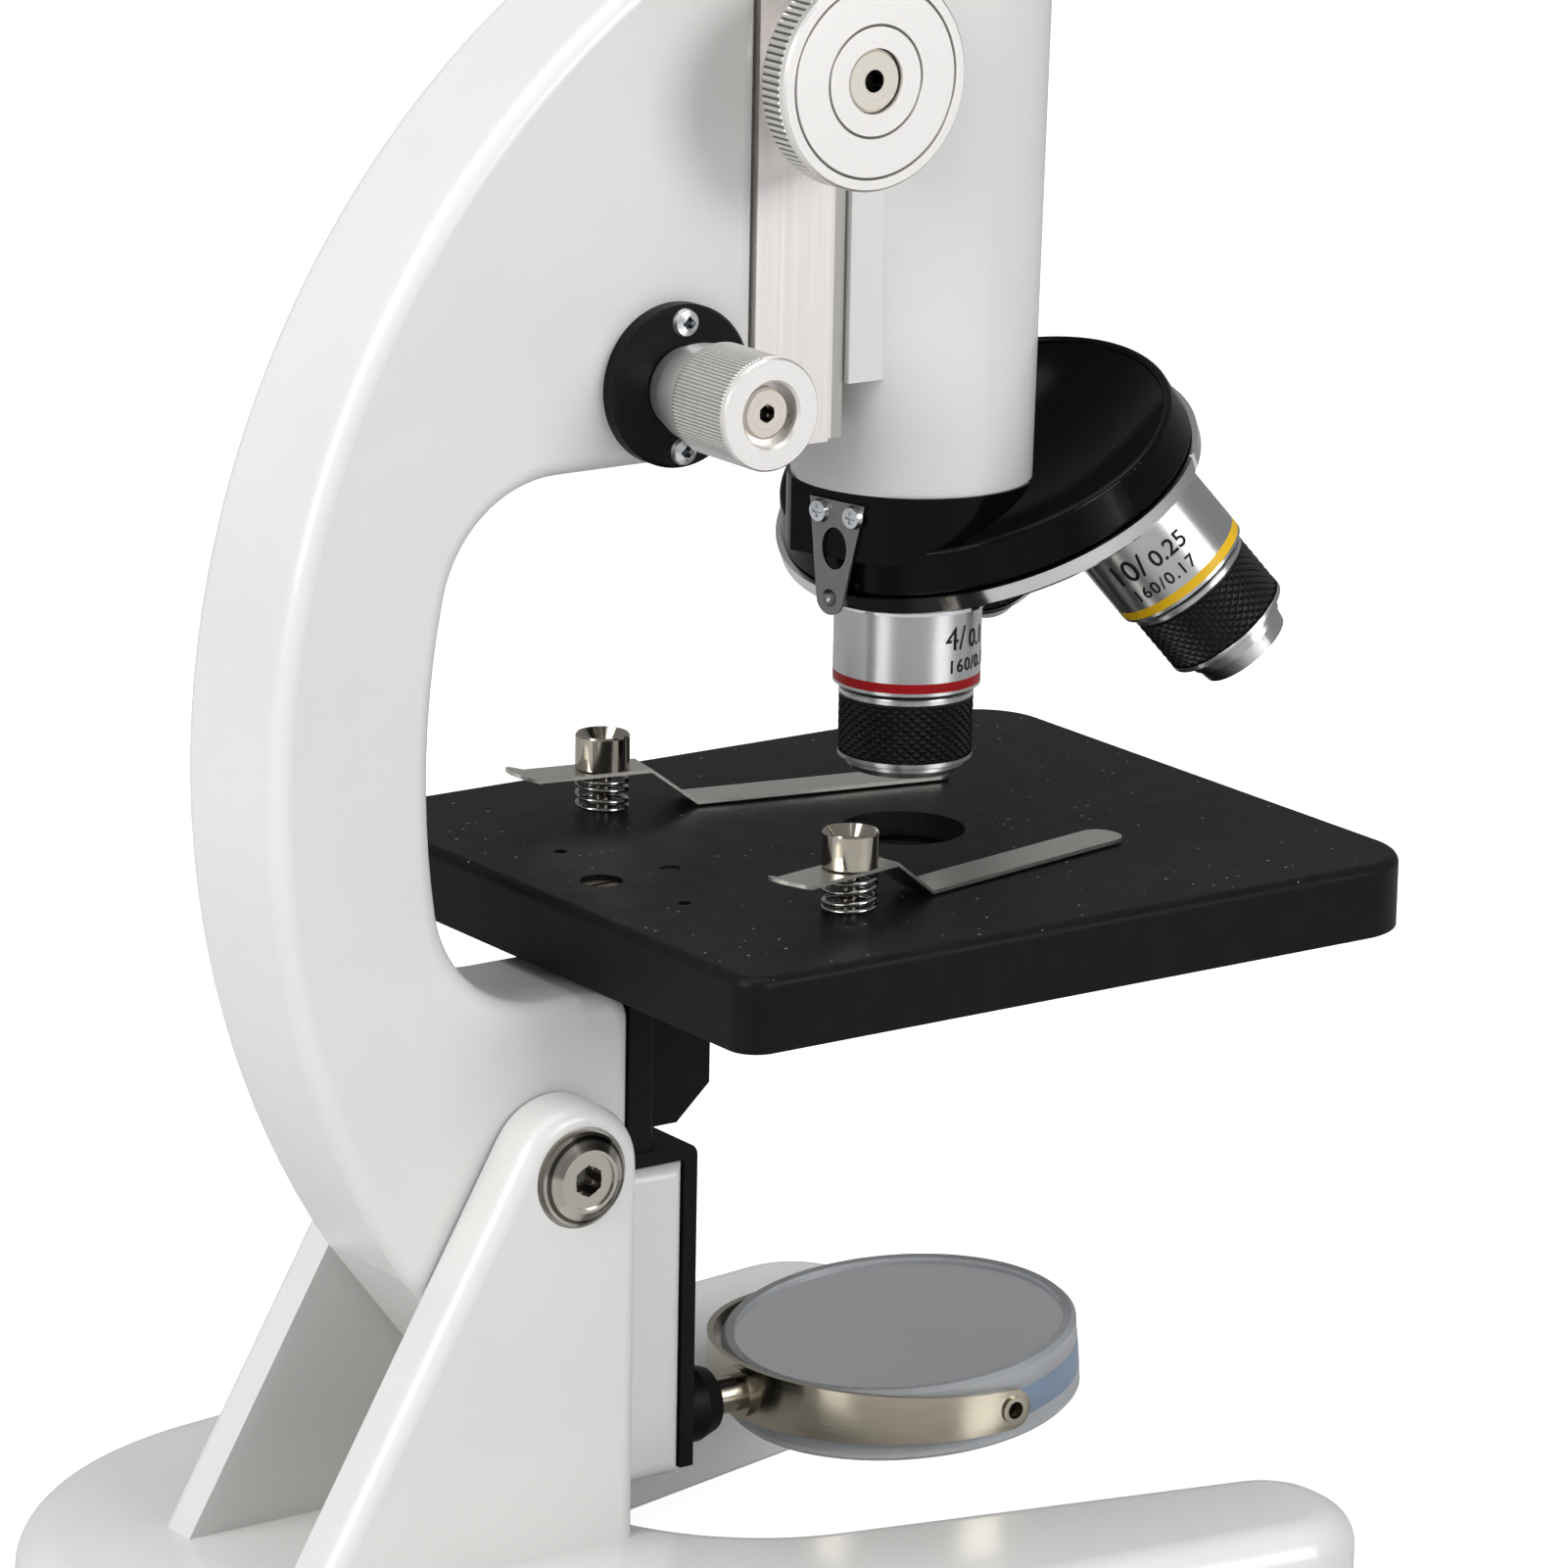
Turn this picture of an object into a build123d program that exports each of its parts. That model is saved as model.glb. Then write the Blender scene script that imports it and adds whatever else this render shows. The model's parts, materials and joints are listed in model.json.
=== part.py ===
from build123d import *
import os
from math import acos, asin, atan2, cos, degrees, pi, radians, sin, sqrt, tan

# Student microscope with an inclining arm on a horseshoe base, in millimetres.
# +X is the operator's right, +Y runs from the arm towards the front of the stage, +Z is up.
# The origin lies on the table under the middle of the object's outline.

# Driving dimensions: optical axis, stage and heights
AXIS_Y = 45.0
STAGE_TOP = 120.0
STAGE_HALF_X = 56.0
STAGE_FRONT = 60.3
STAGE_BACK = 68.7
STAGE_THICK = 11.5
STAGE_FRONT_CORNER = 12.0
STAGE_BACK_CORNER = 4.5
STAGE_HOLE_R = 9.8
STAGE_SKIN = 4.0
STAGE_WALL = 4.0
STAGE_PAD_HALF_X = 18.0
STAGE_PAD_FRONT = AXIS_Y - 38.0
STAGE_SCREW_Y = AXIS_Y - 56.7
STAGE_SCREW_R = 1.5

# Base and its two cheeks
BASE_HEIGHT = 22.5
HEEL_R = 62.3
TOE_R = 14.5
TOE_X = 62.5
TOE_Y = 71.0
CROTCH_R = 34.2
CROTCH_Y = 18.0
CHEEK_GAP = 13.4
CHEEK_THICK = 8.5
CHEEK_TOP_R = 11.0
CHEEK_FOOT_REAR = -79.0
PIVOT_Y = -29.5
PIVOT_Z = 81.8
PIVOT_R = 4.0
PIVOT_HEAD_R = 7.3
PIVOT_SINK = 0.8

# Arm: outer and inner curves in its plane of symmetry
ARM_HALF_X = 13.0
ARM_OUTER_R = 138.5
ARM_OUTER_Y = 60.9
ARM_OUTER_Z = 144.1
ARM_INNER_R = 131.5
ARM_INNER_Y = 81.0
ARM_CORNER_R = 20.0
ARM_SHELF_Z = 106.5
ARM_LINTEL_Z = 187.0
ARM_FRONT_Y = 6.0
ARM_WAIST_Y = -14.4
TAIL_REAR_Y = -53.7
TAIL_REAR_Z = 66.8
TAIL_FOOT_Y = -22.5
TAIL_FOOT_Z = 26.5
SHANK_FRONT_Y = -4.0
SHANK_TOP_Z = 77.5

# Fine focus
FINE_Y = -9.0
FINE_Z = 199.2
FINE_SHAFT_R = 2.5
FLANGE_R = 12.3
FLANGE_THICK = 3.0
FINE_KNOB_R = 8.45
FINE_KNOB_FACE = 38.6
FINE_KNOB_SEAT = 3.8
FLANGE_SCREW_REACH = 9.7
KNURL_DEPTH = 0.4
KNURL_LIP = 0.8
WEDGE_SLOPE = 0.15
WEDGE_TRAVEL = 6.0

# Slide block, rail and coarse focus
BLOCK_HALF_X = 12.5
BLOCK_REAR_Y = 6.3
BLOCK_STEP_Y = 20.0
BLOCK_LIP_Y = 23.6
BLOCK_LIP_HALF_X = 10.9
BLOCK_BOTTOM = 187.0
BLOCK_TOP = 270.0
RAIL_HALF_X = 12.0
RAIL_REAR_Y = 24.0
RAIL_BOTTOM = 195.3
RAIL_TOP = 292.0
COARSE_Y = 14.0
COARSE_Z = 245.0
COARSE_KNOB_R = 16.4
COARSE_KNOB_FACE = 31.0
COARSE_SHAFT_R = 3.0
TONGUE_REAR_Y = 20.6
MODULE = 0.8
PINION_TEETH = 14
PRESSURE_ANGLE = 20.0
PITCH_R = MODULE * PINION_TEETH / 2
ADDENDUM = 0.8 * MODULE
DEDENDUM = 1.1 * MODULE
BACKLASH = 0.12
RACK_HALF_X = 4.5
RACK_BACKING = 2.0

# Body tube and eyepiece
TUBE_BOTTOM = 177.0
TUBE_TOP = 303.0
TUBE_R = 18.65
TUBE_TAPER = 0.0136
TUBE_BORE_R = 15.5
COLLAR_R = 13.6
EYEPIECE_R = 11.6

# Nosepiece: all objective axes meet at its apex on the optical axis
APEX_Z = 210.9
TURRET_TILT = 23.5
TURRET_HEADING = -8.0
DISH_R = 46.0
DISH_UNDER_R = 49.0
DISH_EDGE_R = 30.1
CREST_DROP = 34.75
SKIRT_R = 33.0
SKIRT_DROP = 40.5
CHROME_R = 34.0
NECK_R = 19.2
LIGHT_R = 8.5
PIN_R = 2.4
NOTCH_DEPTH = 0.7
CLICK_HEADING = 168.0
CLICK_SEAT = 16.4
CLICK_SHEET = 0.5
CLICK_SCREW_X = 3.4
CLICK_SCREW_DROP = -4.0
CLICK_SCREW_R = 1.05
CLICK_TIP_X = -1.2
CLICK_TIP_DROP = -17.4

# Objectives, measured from the apex along their own axes
SEAT = 54.0
BOSS_R = 12.4
THREAD_R = 10.08
OBJECTIVE_R = 11.5
BAND_TOP = 64.9
BAND_WIDTH = 1.5
BAND_DEPTH = 0.9
SLEEVE_R = 10.5
SLEEVE_WALL = 1.6
SLEEVE_TOP = 68.6
SLEEVE_LENGTH = 10.1
TIPS = {
    "4x": [(9.4, 78.7), (9.4, 79.6), (8.6, 80.6), (6.2, 80.6)],
    "10x": [(9.4, 78.7), (9.4, 79.4), (8.4, 79.4), (8.4, 80.9), (8.0, 80.9), (7.6, 83.4), (3.4, 83.4)],
    "40x": [(9.4, 78.7), (9.4, 79.4), (8.2, 79.4), (8.2, 81.5), (4.6, 87.6), (1.6, 88.0)],
}

# Stage clips
CLIP_X = 33.2
CLIP_Y = AXIS_Y - 34.3
CLIP_TURN = 11.0
CLIP_LENGTH = 60.0
CLIP_WIDTH = 7.0
CLIP_SHEET = 0.6
WIRE = 0.8
SPRING_R = 3.9
SPRING_TURNS = 4
SPRING_HEIGHT = 6.0
STUD_SEAT = 7.2
STUD_STEM_R = 1.45

# Disc diaphragm under the stage
DISC_REACH = 22.0
DISC_R = 32.0
DISC_SHEET = 1.2
DISC_PIN_R = 2.0
DISC_Y = AXIS_Y + DISC_REACH
APERTURES = (8.0, 5.5, 3.5, 2.0, 1.0)

# Mirror
MIRROR_Y = AXIS_Y + 2.0
MIRROR_Z = 32.5
MIRROR_R = 28.3
MIRROR_TILT = 6.0
MIRROR_GLASS_R = 26.25
MIRROR_HALF = 6.0
MIRROR_GLASS = 2.8
FORK_INNER_R = 28.9
FORK_SETBACK = 1.2
FORK_SHEET = 1.1
FORK_HEIGHT = 8.7
FORK_TIP_HEIGHT = 6.4
FORK_OUTER_R = FORK_INNER_R + FORK_SHEET
EYELET_R = 1.8
STEM_R = 3.0
MIRROR_PLATE_FRONT = SHANK_FRONT_Y + 2.4
BOSS_LENGTH = 10.6
BOSS_FRONT = MIRROR_PLATE_FRONT + BOSS_LENGTH

# Fits
GAP = 0.3
RUNNING_FIT = 0.05
SEAT_FIT = 0.02
STAGE_BOTTOM = STAGE_TOP - STAGE_THICK
DISC_TOP = STAGE_TOP - STAGE_SKIN - GAP
SHELL_R = DISH_UNDER_R + GAP
BRACKET_FOOT = SHANK_TOP_Z + 2.4
ALONG_X = Rot(0, 90, 0)


def rod_x(radius, x0, x1, y, z):
    """A round bar along X from x0 to x1."""
    return Pos((x0 + x1) / 2, y, z) * ALONG_X * Cylinder(radius, abs(x1 - x0))


def rod_z(radius, x, y, z0, z1):
    """A round bar along Z from z0 to z1."""
    return Pos(x, y, (z0 + z1) / 2) * Cylinder(radius, z1 - z0)


def block(x0, x1, y0, y1, z0, z1):
    """A rectangular block between two corners."""
    return Pos((x0 + x1) / 2, (y0 + y1) / 2, (z0 + z1) / 2) * Box(x1 - x0, y1 - y0, z1 - z0)


def turned(points):
    """A turned solid from its half outline, given as (radius, height) points."""
    return revolve(Plane.XZ * make_face(Polyline(*points, close=True)), axis=Axis.Z)


def mirrored(solid):
    """The same piece on the operator's left."""
    return mirror(solid, about=Plane.YZ)


def hex_socket(across, depth):
    """A hexagonal recess below Z = 0."""
    return extrude(RegularPolygon(across / 2, 6, major_radius=False), amount=-depth)


def cross_recess(length, width):
    """Cross-shaped recess of a screw head, one millimetre high about its centre."""
    return Box(length, width, 1) + Box(width, length, 1)


# Base: horseshoe with the two cheeks that carry the arm

def base_outline():
    """Heel circle and two toes in one hull, less the horseshoe's gap."""
    heel_y = -(AXIS_Y + STAGE_FRONT) + HEEL_R
    rounds = Pos(0, heel_y) * Circle(HEEL_R)
    rounds += Pos(TOE_X, TOE_Y) * Circle(TOE_R)
    rounds += Pos(-TOE_X, TOE_Y) * Circle(TOE_R)
    plan = make_hull(rounds.edges())
    mouth_y = TOE_Y + TOE_R + 1
    spread = asin((CROTCH_R + TOE_R) / sqrt(TOE_X**2 + (TOE_Y - CROTCH_Y)**2))
    lean = atan2(TOE_X, TOE_Y - CROTCH_Y) - spread
    start = (CROTCH_R * cos(lean), CROTCH_Y - CROTCH_R * sin(lean))
    mouth_x = start[0] + (mouth_y - start[1]) * tan(lean)
    sides = Polyline((-start[0], start[1]), start, (mouth_x, mouth_y), (-mouth_x, mouth_y), close=True)
    gap = make_face(sides) + Pos(0, CROTCH_Y) * Circle(CROTCH_R)
    plan -= gap
    toe_corners = plan.vertices().filter_by(lambda v: v.Y > TOE_Y + TOE_R - 0.5 and abs(v.X) < TOE_X - 5)
    return fillet(toe_corners, TOE_R - 2.5)


def cheek():
    """One cheek: round head about the pivot, upright front edge and sloping rear edge."""
    head = Pos(PIVOT_Y, PIVOT_Z) * Circle(CHEEK_TOP_R)
    foot = Line((CHEEK_FOOT_REAR, BASE_HEIGHT - 4), (PIVOT_Y + CHEEK_TOP_R, BASE_HEIGHT - 4))
    side = make_hull(head.edges() + [foot])
    solid = Pos(CHEEK_GAP, 0, 0) * extrude(Plane.YZ * side, amount=CHEEK_THICK)
    outer_edges = solid.faces().sort_by(Axis.X)[-1].edges()
    return fillet(outer_edges, 2.8)


def base():
    """Horseshoe casting with rounded shoulders, two cheeks and the cross bore for the pivot."""
    foot = extrude(base_outline(), amount=BASE_HEIGHT)
    foot = fillet(foot.faces().sort_by(Axis.Z)[-1].edges(), 6.0)
    foot = chamfer(foot.faces().sort_by(Axis.Z)[0].edges(), 0.8)
    right = cheek()
    casting = foot + right + mirrored(right)
    reach = CHEEK_GAP + CHEEK_THICK + 1
    casting -= rod_x(PIVOT_R + RUNNING_FIT, -reach, reach, PIVOT_Y, PIVOT_Z)
    for side in (-1, 1):
        face = CHEEK_GAP + CHEEK_THICK
        casting -= rod_x(PIVOT_HEAD_R + 0.6, side * (face - PIVOT_SINK), side * (face + 2), PIVOT_Y, PIVOT_Z)
    return casting


def pivot_cap(depth):
    """Bevelled cap with a raised rim and a hexagon socket, standing on Z = 0."""
    r = PIVOT_HEAD_R
    cap = turned([(0, 0), (r, 0), (r, 1.6), (4.9, 3.2), (4.4, 3.2), (4.4, 2.8), (0, 2.8)])
    return cap - Pos(0, 0, 2.8) * hex_socket(4.4, depth)


def pivot_bolt():
    """Shoulder bolt across both cheeks, with its cap on the operator's right."""
    face = CHEEK_GAP + CHEEK_THICK - PIVOT_SINK
    bolt = Pos(face, PIVOT_Y, PIVOT_Z) * ALONG_X * pivot_cap(2.2)
    return bolt + rod_x(PIVOT_R, -face + 0.1, face + 0.4, PIVOT_Y, PIVOT_Z)


def pivot_nut():
    """Matching cap nut on the operator's left end of the pivot bolt."""
    face = CHEEK_GAP + CHEEK_THICK - PIVOT_SINK
    return Pos(-face, PIVOT_Y, PIVOT_Z) * Rot(0, -90, 0) * pivot_cap(1.2)


# Arm

def corner_centre(level, side):
    """Centre of the round corner between the arm's inner curve and its shelf or lintel."""
    z = level + side * ARM_CORNER_R
    y = ARM_INNER_Y - sqrt((ARM_INNER_R - ARM_CORNER_R)**2 - (z - ARM_OUTER_Z)**2)
    return y, z


def arm_outline():
    """C-shaped arm with its tail, drawn in the plane of symmetry as (Y, Z)."""
    top_angle = 180 - degrees(acos((ARM_OUTER_Y - ARM_FRONT_Y) / ARM_OUTER_R))
    tail_angle = 180 + degrees(atan2(ARM_OUTER_Z - TAIL_REAR_Z, ARM_OUTER_Y - TAIL_REAR_Y))
    outer = CenterArc((ARM_OUTER_Y, ARM_OUTER_Z), ARM_OUTER_R, top_angle, tail_angle - top_angle)
    low = corner_centre(ARM_SHELF_Z, 1)
    high = corner_centre(ARM_LINTEL_Z, -1)
    low_angle = degrees(atan2(ARM_OUTER_Z - low[1], ARM_INNER_Y - low[0]))
    high_angle = degrees(atan2(high[1] - ARM_OUTER_Z, ARM_INNER_Y - high[0]))
    back = CenterArc((ARM_INNER_Y, ARM_OUTER_Z), ARM_INNER_R, 180 + low_angle, -low_angle - high_angle)
    low_corner = CenterArc(low, ARM_CORNER_R, 270, low_angle - 90)
    high_corner = CenterArc(high, ARM_CORNER_R, 180 - high_angle, high_angle - 90)
    tail = Polyline(
        outer @ 1,
        (TAIL_FOOT_Y, TAIL_FOOT_Z),
        (SHANK_FRONT_Y, TAIL_FOOT_Z),
        (SHANK_FRONT_Y, SHANK_TOP_Z),
        (ARM_WAIST_Y, SHANK_TOP_Z),
        (ARM_WAIST_Y, ARM_SHELF_Z),
        low_corner @ 0,
    )
    front = Polyline(high_corner @ 1, (ARM_FRONT_Y, ARM_LINTEL_Z), outer @ 0)
    outline = make_face(outer.edges() + tail.edges() + [low_corner, back, high_corner] + front.edges())
    crown = outline.vertices().sort_by_distance((ARM_FRONT_Y, BLOCK_TOP))[0]
    outline = fillet(crown, 6.0)
    shelf_nose = outline.vertices().sort_by_distance((ARM_WAIST_Y, ARM_SHELF_Z))[0]
    outline = fillet(shelf_nose, 5.0)
    lintel_nose = outline.vertices().sort_by_distance((ARM_FRONT_Y, ARM_LINTEL_Z))[0]
    return fillet(lintel_nose, 2.0)


def arm():
    """Arm casting with the pivot bore, the fine-focus chamber and the dovetail way of the slide block."""
    casting = extrude(Plane.YZ * arm_outline(), amount=ARM_HALF_X, both=True)
    side_edges = casting.faces().sort_by(Axis.X)[-1].edges() + casting.faces().sort_by(Axis.X)[0].edges()
    casting = fillet(side_edges, 2.8)
    casting -= rod_x(PIVOT_R + RUNNING_FIT, -ARM_HALF_X - 1, ARM_HALF_X + 1, PIVOT_Y, PIVOT_Z)
    casting -= rod_x(FINE_SHAFT_R + RUNNING_FIT, -ARM_HALF_X - 1, ARM_HALF_X + 1, FINE_Y, FINE_Z)
    casting -= fine_chamber()
    return casting - extrude(way_profile(GAP), amount=BLOCK_TOP - BLOCK_BOTTOM + 14)


def fine_chamber():
    """Room inside the arm for the wedge nut, open towards the slide block for its follower."""
    room = block(-10.5, 10.5, FINE_Y - 6.6, FINE_Y + 6.6, FINE_Z - 6.6, FINE_Z + 12)
    return room + block(-4, 4, FINE_Y + 6, ARM_FRONT_Y + 1, FINE_Z + 2, FINE_Z + 12)


def way_profile(clearance):
    """Section of the dovetail between the arm and the slide block, widest deep in the arm."""
    front = BLOCK_REAR_Y + 0.5
    deep = ARM_FRONT_Y - 4.0 - clearance
    neck = 3.6 + clearance
    wide = 5.6 + clearance
    outline = Polyline((-neck, front), (-wide, deep), (wide, deep), (neck, front), close=True)
    return Pos(0, 0, BLOCK_BOTTOM - 6) * make_face(outline)


# Stage

def stage():
    """Square stage cast as a shallow pan, with the light hole, clip holes and a solid pad for its bracket."""
    y0 = AXIS_Y - STAGE_BACK
    y1 = AXIS_Y + STAGE_FRONT
    plate = block(-STAGE_HALF_X, STAGE_HALF_X, y0, y1, STAGE_BOTTOM, STAGE_TOP)
    plate = stage_corners(plate, 0)
    plate = fillet(plate.faces().sort_by(Axis.Z)[-1].edges(), 1.6)
    w = STAGE_WALL
    x = STAGE_HALF_X - w
    pan = block(-x, x, y0 + w, y1 - w, STAGE_BOTTOM - 1, STAGE_TOP - STAGE_SKIN)
    pan = stage_corners(pan, w)
    pan -= block(-STAGE_PAD_HALF_X, STAGE_PAD_HALF_X, y0, STAGE_PAD_FRONT, STAGE_BOTTOM - 2, STAGE_TOP)
    for side in (-1, 1):
        pan -= rod_z(6, side * CLIP_X, CLIP_Y, STAGE_BOTTOM - 2, STAGE_TOP)
    plate -= pan
    plate -= rod_z(STAGE_HOLE_R, 0, AXIS_Y, STAGE_BOTTOM - 1, STAGE_TOP + 1)
    plate -= rod_z(DISC_PIN_R + RUNNING_FIT, 0, DISC_Y, STAGE_BOTTOM - 1, STAGE_TOP - 1.2)
    plate -= rod_z(1.6, 0, AXIS_Y - 44, STAGE_TOP - 0.2, STAGE_TOP + 1)
    for side in (-1, 1):
        plate -= rod_z(1.0, side * 16.8, AXIS_Y - 53, STAGE_TOP - 6, STAGE_TOP + 1)
        plate -= rod_z(1.5, side * CLIP_X, CLIP_Y, STAGE_TOP - 8, STAGE_TOP + 1)
    return plate - stage_screw_hole()


def stage_corners(plate, inset):
    """A plate with rounded corners, the front pair larger than the back pair, less an inset."""
    upright = plate.edges().filter_by(Axis.Z).sort_by(Axis.Y)
    plate = fillet(upright[2:], STAGE_FRONT_CORNER - inset)
    upright = plate.edges().filter_by(Axis.Z).sort_by(Axis.Y)
    return fillet(upright[:2], max(STAGE_BACK_CORNER - inset, 1.0))


def stage_screw_hole():
    """Countersunk hole for the screw that holds the stage on its bracket."""
    r = STAGE_SCREW_R + 0.1
    hole = [(0, -STAGE_THICK - 1), (r, -STAGE_THICK - 1), (r, -2.2), (3.3, -0.5), (3.3, 1), (0, 1)]
    return Pos(0, STAGE_SCREW_Y, STAGE_TOP) * turned(hole)


def stage_screw():
    """Countersunk screw through the stage into its bracket."""
    r = STAGE_SCREW_R
    body = [(0, -STAGE_THICK - 8), (r, -STAGE_THICK - 8), (r, -2.2), (3.2, -0.55), (0, -0.55)]
    screw = turned(body) - Pos(0, 0, -0.55) * Box(0.8, 5, 1.6)
    return Pos(0, STAGE_SCREW_Y, STAGE_TOP) * screw


def stage_bracket():
    """Black bracket on the arm's front: a tall plate and a deep nose under the stage."""
    y = ARM_WAIST_Y
    plate = block(-12, 12, y, y + 5, BRACKET_FOOT, STAGE_BOTTOM)
    plate = fillet(plate.edges().filter_by(Axis.Z).sort_by(Axis.Y)[2:], 1.2)
    nose_side = Polyline(
        (y + 4.5, STAGE_BOTTOM),
        (y + 17, STAGE_BOTTOM),
        (y + 17, STAGE_BOTTOM - 20.5),
        (y + 11, STAGE_BOTTOM - 26),
        (y + 4.5, STAGE_BOTTOM - 26),
        close=True,
    )
    nose = extrude(Plane.YZ * make_face(nose_side), amount=9, both=True)
    bracket = plate + nose
    return bracket - rod_z(STAGE_SCREW_R + SEAT_FIT, 0, STAGE_SCREW_Y, STAGE_BOTTOM - 8.5, STAGE_BOTTOM + 1)


# Stage clips: stud, coil spring and bent leaf

def clip_stud():
    """Dished nickel stud whose stem stands in the stage."""
    head = turned([(0, 0), (4.3, 0), (4.3, 5.1), (4.1, 5.4), (3.8, 5.4), (3.4, 4.9), (2.2, 3.4), (0, 3.0)])
    stem = rod_z(STUD_STEM_R, 0, 0, -STUD_SEAT - 7.8, 0.5)
    return Pos(CLIP_X, CLIP_Y, STAGE_TOP + STUD_SEAT) * (head + stem)


def coil_centre(turn, radius, rise):
    """Point of a coil after so many turns, and its direction there."""
    angle = 2 * pi * turn
    point = Vector(radius * cos(angle), radius * sin(angle), rise * turn)
    heading = Vector(-2 * pi * radius * sin(angle), 2 * pi * radius * cos(angle), rise).normalized()
    return point, heading


def biarc(p0, t0, p1, t1):
    """Two arcs that join two points and share a tangent where they meet."""
    chord = p1 - p0
    a = 2 * (1 - t0.dot(t1))
    b = 2 * chord.dot(t0 + t1)
    c = -chord.dot(chord)
    reach = (-b + sqrt(b * b - 4 * a * c)) / (2 * a)
    middle = (p0 + t0 * reach + p1 - t1 * reach) / 2
    first = TangentArc(p0, middle, tangent=t0)
    second = TangentArc(middle, p1, tangent=first % 1)
    return [first, second]


def coil_gap(rise, turns):
    """Least gap between neighbouring turns, measured on points of the coil's centre line."""
    steps = 24
    points = [coil_centre(i / steps, SPRING_R, rise)[0] for i in range(turns * steps + 1)]
    ahead = steps // 2
    return min((a - b).length for i, a in enumerate(points) for b in points[i + ahead:])


def clip_spring():
    """Open coil spring between the stage and the leaf, with straight ends one wire long."""
    rise = (SPRING_HEIGHT - WIRE) / SPRING_TURNS
    path = []
    for quarter in range(4 * SPRING_TURNS):
        p0, t0 = coil_centre(quarter / 4, SPRING_R, rise)
        p1, t1 = coil_centre((quarter + 1) / 4, SPRING_R, rise)
        path += biarc(p0, t0, p1, t1)
    first, heading = coil_centre(0, SPRING_R, rise)
    last, way_out = coil_centre(SPRING_TURNS, SPRING_R, rise)
    path = [Line(first - heading * WIRE, first)] + path + [Line(last, last + way_out * WIRE)]
    section = Plane(origin=first - heading * WIRE, z_dir=heading) * Circle(WIRE / 2)
    coil = sweep(section, path=Wire(path))
    return Pos(CLIP_X, CLIP_Y, STAGE_TOP + 0.1 + WIRE / 2) * coil


def clip_leaf():
    """Spring leaf: flared tail, flat seat on the stud, ramp and blade that ends flat on the stage."""
    seat = 6.3
    rest = 0.4
    tail = -16
    line = [(tail, seat + 1.2), (tail + 4, seat), (7, seat), (15, rest), (CLIP_LENGTH, rest)]
    top = [(y, z + CLIP_SHEET) for y, z in reversed(line)]
    strip = extrude(Plane.YZ * make_face(Polyline(*line, *top, close=True)), amount=CLIP_WIDTH / 2, both=True)
    plan = block(-CLIP_WIDTH / 2, CLIP_WIDTH / 2, tail, CLIP_LENGTH, -1, 20)
    plan = fillet(plan.edges().filter_by(Axis.Z), CLIP_WIDTH / 2 - 0.4)
    leaf = (strip & plan) - rod_z(STUD_STEM_R + RUNNING_FIT, 0, 0, 0, 12)
    return Pos(CLIP_X, CLIP_Y, STAGE_TOP) * Rot(0, 0, CLIP_TURN) * leaf


# Disc diaphragm under the stage

def diaphragm_disc():
    """Thin disc with five graded apertures on one circle."""
    disc = rod_z(DISC_R, 0, DISC_Y, DISC_TOP - DISC_SHEET, DISC_TOP)
    disc -= rod_z(DISC_PIN_R + RUNNING_FIT, 0, DISC_Y, DISC_TOP - 2, DISC_TOP + 1)
    for index, radius in enumerate(APERTURES):
        angle = radians(-90 + 72 * index)
        x = DISC_REACH * cos(angle)
        y = DISC_Y + DISC_REACH * sin(angle)
        disc -= rod_z(radius, x, y, DISC_TOP - 2, DISC_TOP + 1)
    return disc


def diaphragm_screw():
    """Shoulder screw that the diaphragm turns on."""
    below = DISC_TOP - DISC_SHEET - GAP
    pin = rod_z(DISC_PIN_R, 0, DISC_Y, below - 0.2, STAGE_TOP - 1.4)
    return pin + rod_z(2 * DISC_PIN_R, 0, DISC_Y, below - 1.6, below)


# Fine focus: shaft, wedge nut, flanges and knobs

def fine_flange():
    """Black bearing flange on the side of the arm."""
    bore = FINE_SHAFT_R + RUNNING_FIT
    bevel = 0.6
    ring = turned([(bore, 0), (FLANGE_R, 0), (FLANGE_R, FLANGE_THICK - bevel),
                   (FLANGE_R - bevel, FLANGE_THICK), (bore, FLANGE_THICK)])
    for side in (-1, 1):
        ring -= Pos(side * FLANGE_SCREW_REACH, 0, 0) * Cylinder(1.3, 12)
    return Pos(ARM_HALF_X, FINE_Y, FINE_Z) * ALONG_X * ring


def flange_screws():
    """Two round-headed screws in each flange."""
    head = turned([(0, 0), (2.1, 0), (1.9, 0.9), (1.0, 1.4), (0, 1.5)])
    screw = head - Pos(0, 0, 1.2) * cross_recess(2.2, 0.6)
    screw += Pos(0, 0, -1.2) * Cylinder(1.2, 3.0)
    group = Part()
    for side in (-1, 1):
        group += Pos(ARM_HALF_X + FLANGE_THICK, FINE_Y, FINE_Z + side * FLANGE_SCREW_REACH) * ALONG_X * screw
    return group + mirrored(group)


def fine_shaft():
    """Shaft through the arm with the lead screw in its middle."""
    end = FINE_KNOB_FACE - FINE_KNOB_SEAT
    return rod_x(FINE_SHAFT_R, -end, end, FINE_Y, FINE_Z)


def fine_knob():
    """Satin knob: swelling neck, knurled barrel and a bevelled bore for its screw."""
    start = ARM_HALF_X + FLANGE_THICK + GAP
    length = FINE_KNOB_FACE - start
    r = FINE_KNOB_R
    root = r - KNURL_DEPTH / 2
    lip = length - 0.3 - KNURL_LIP
    bore = FINE_SHAFT_R + SEAT_FIT
    seat = length - FINE_KNOB_SEAT
    outline = [(bore, 0), (6.2, 0), (7.3, 3.5), (8.0, 8.2), (root, 8.6), (root, lip), (r, lip),
               (r, length - 0.3), (r - 0.3, length), (5.2, length), (4.8, length - 0.4), (4.8, seat),
               (bore, seat)]
    return Pos(start, FINE_Y, FINE_Z) * ALONG_X * turned(outline)


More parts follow.
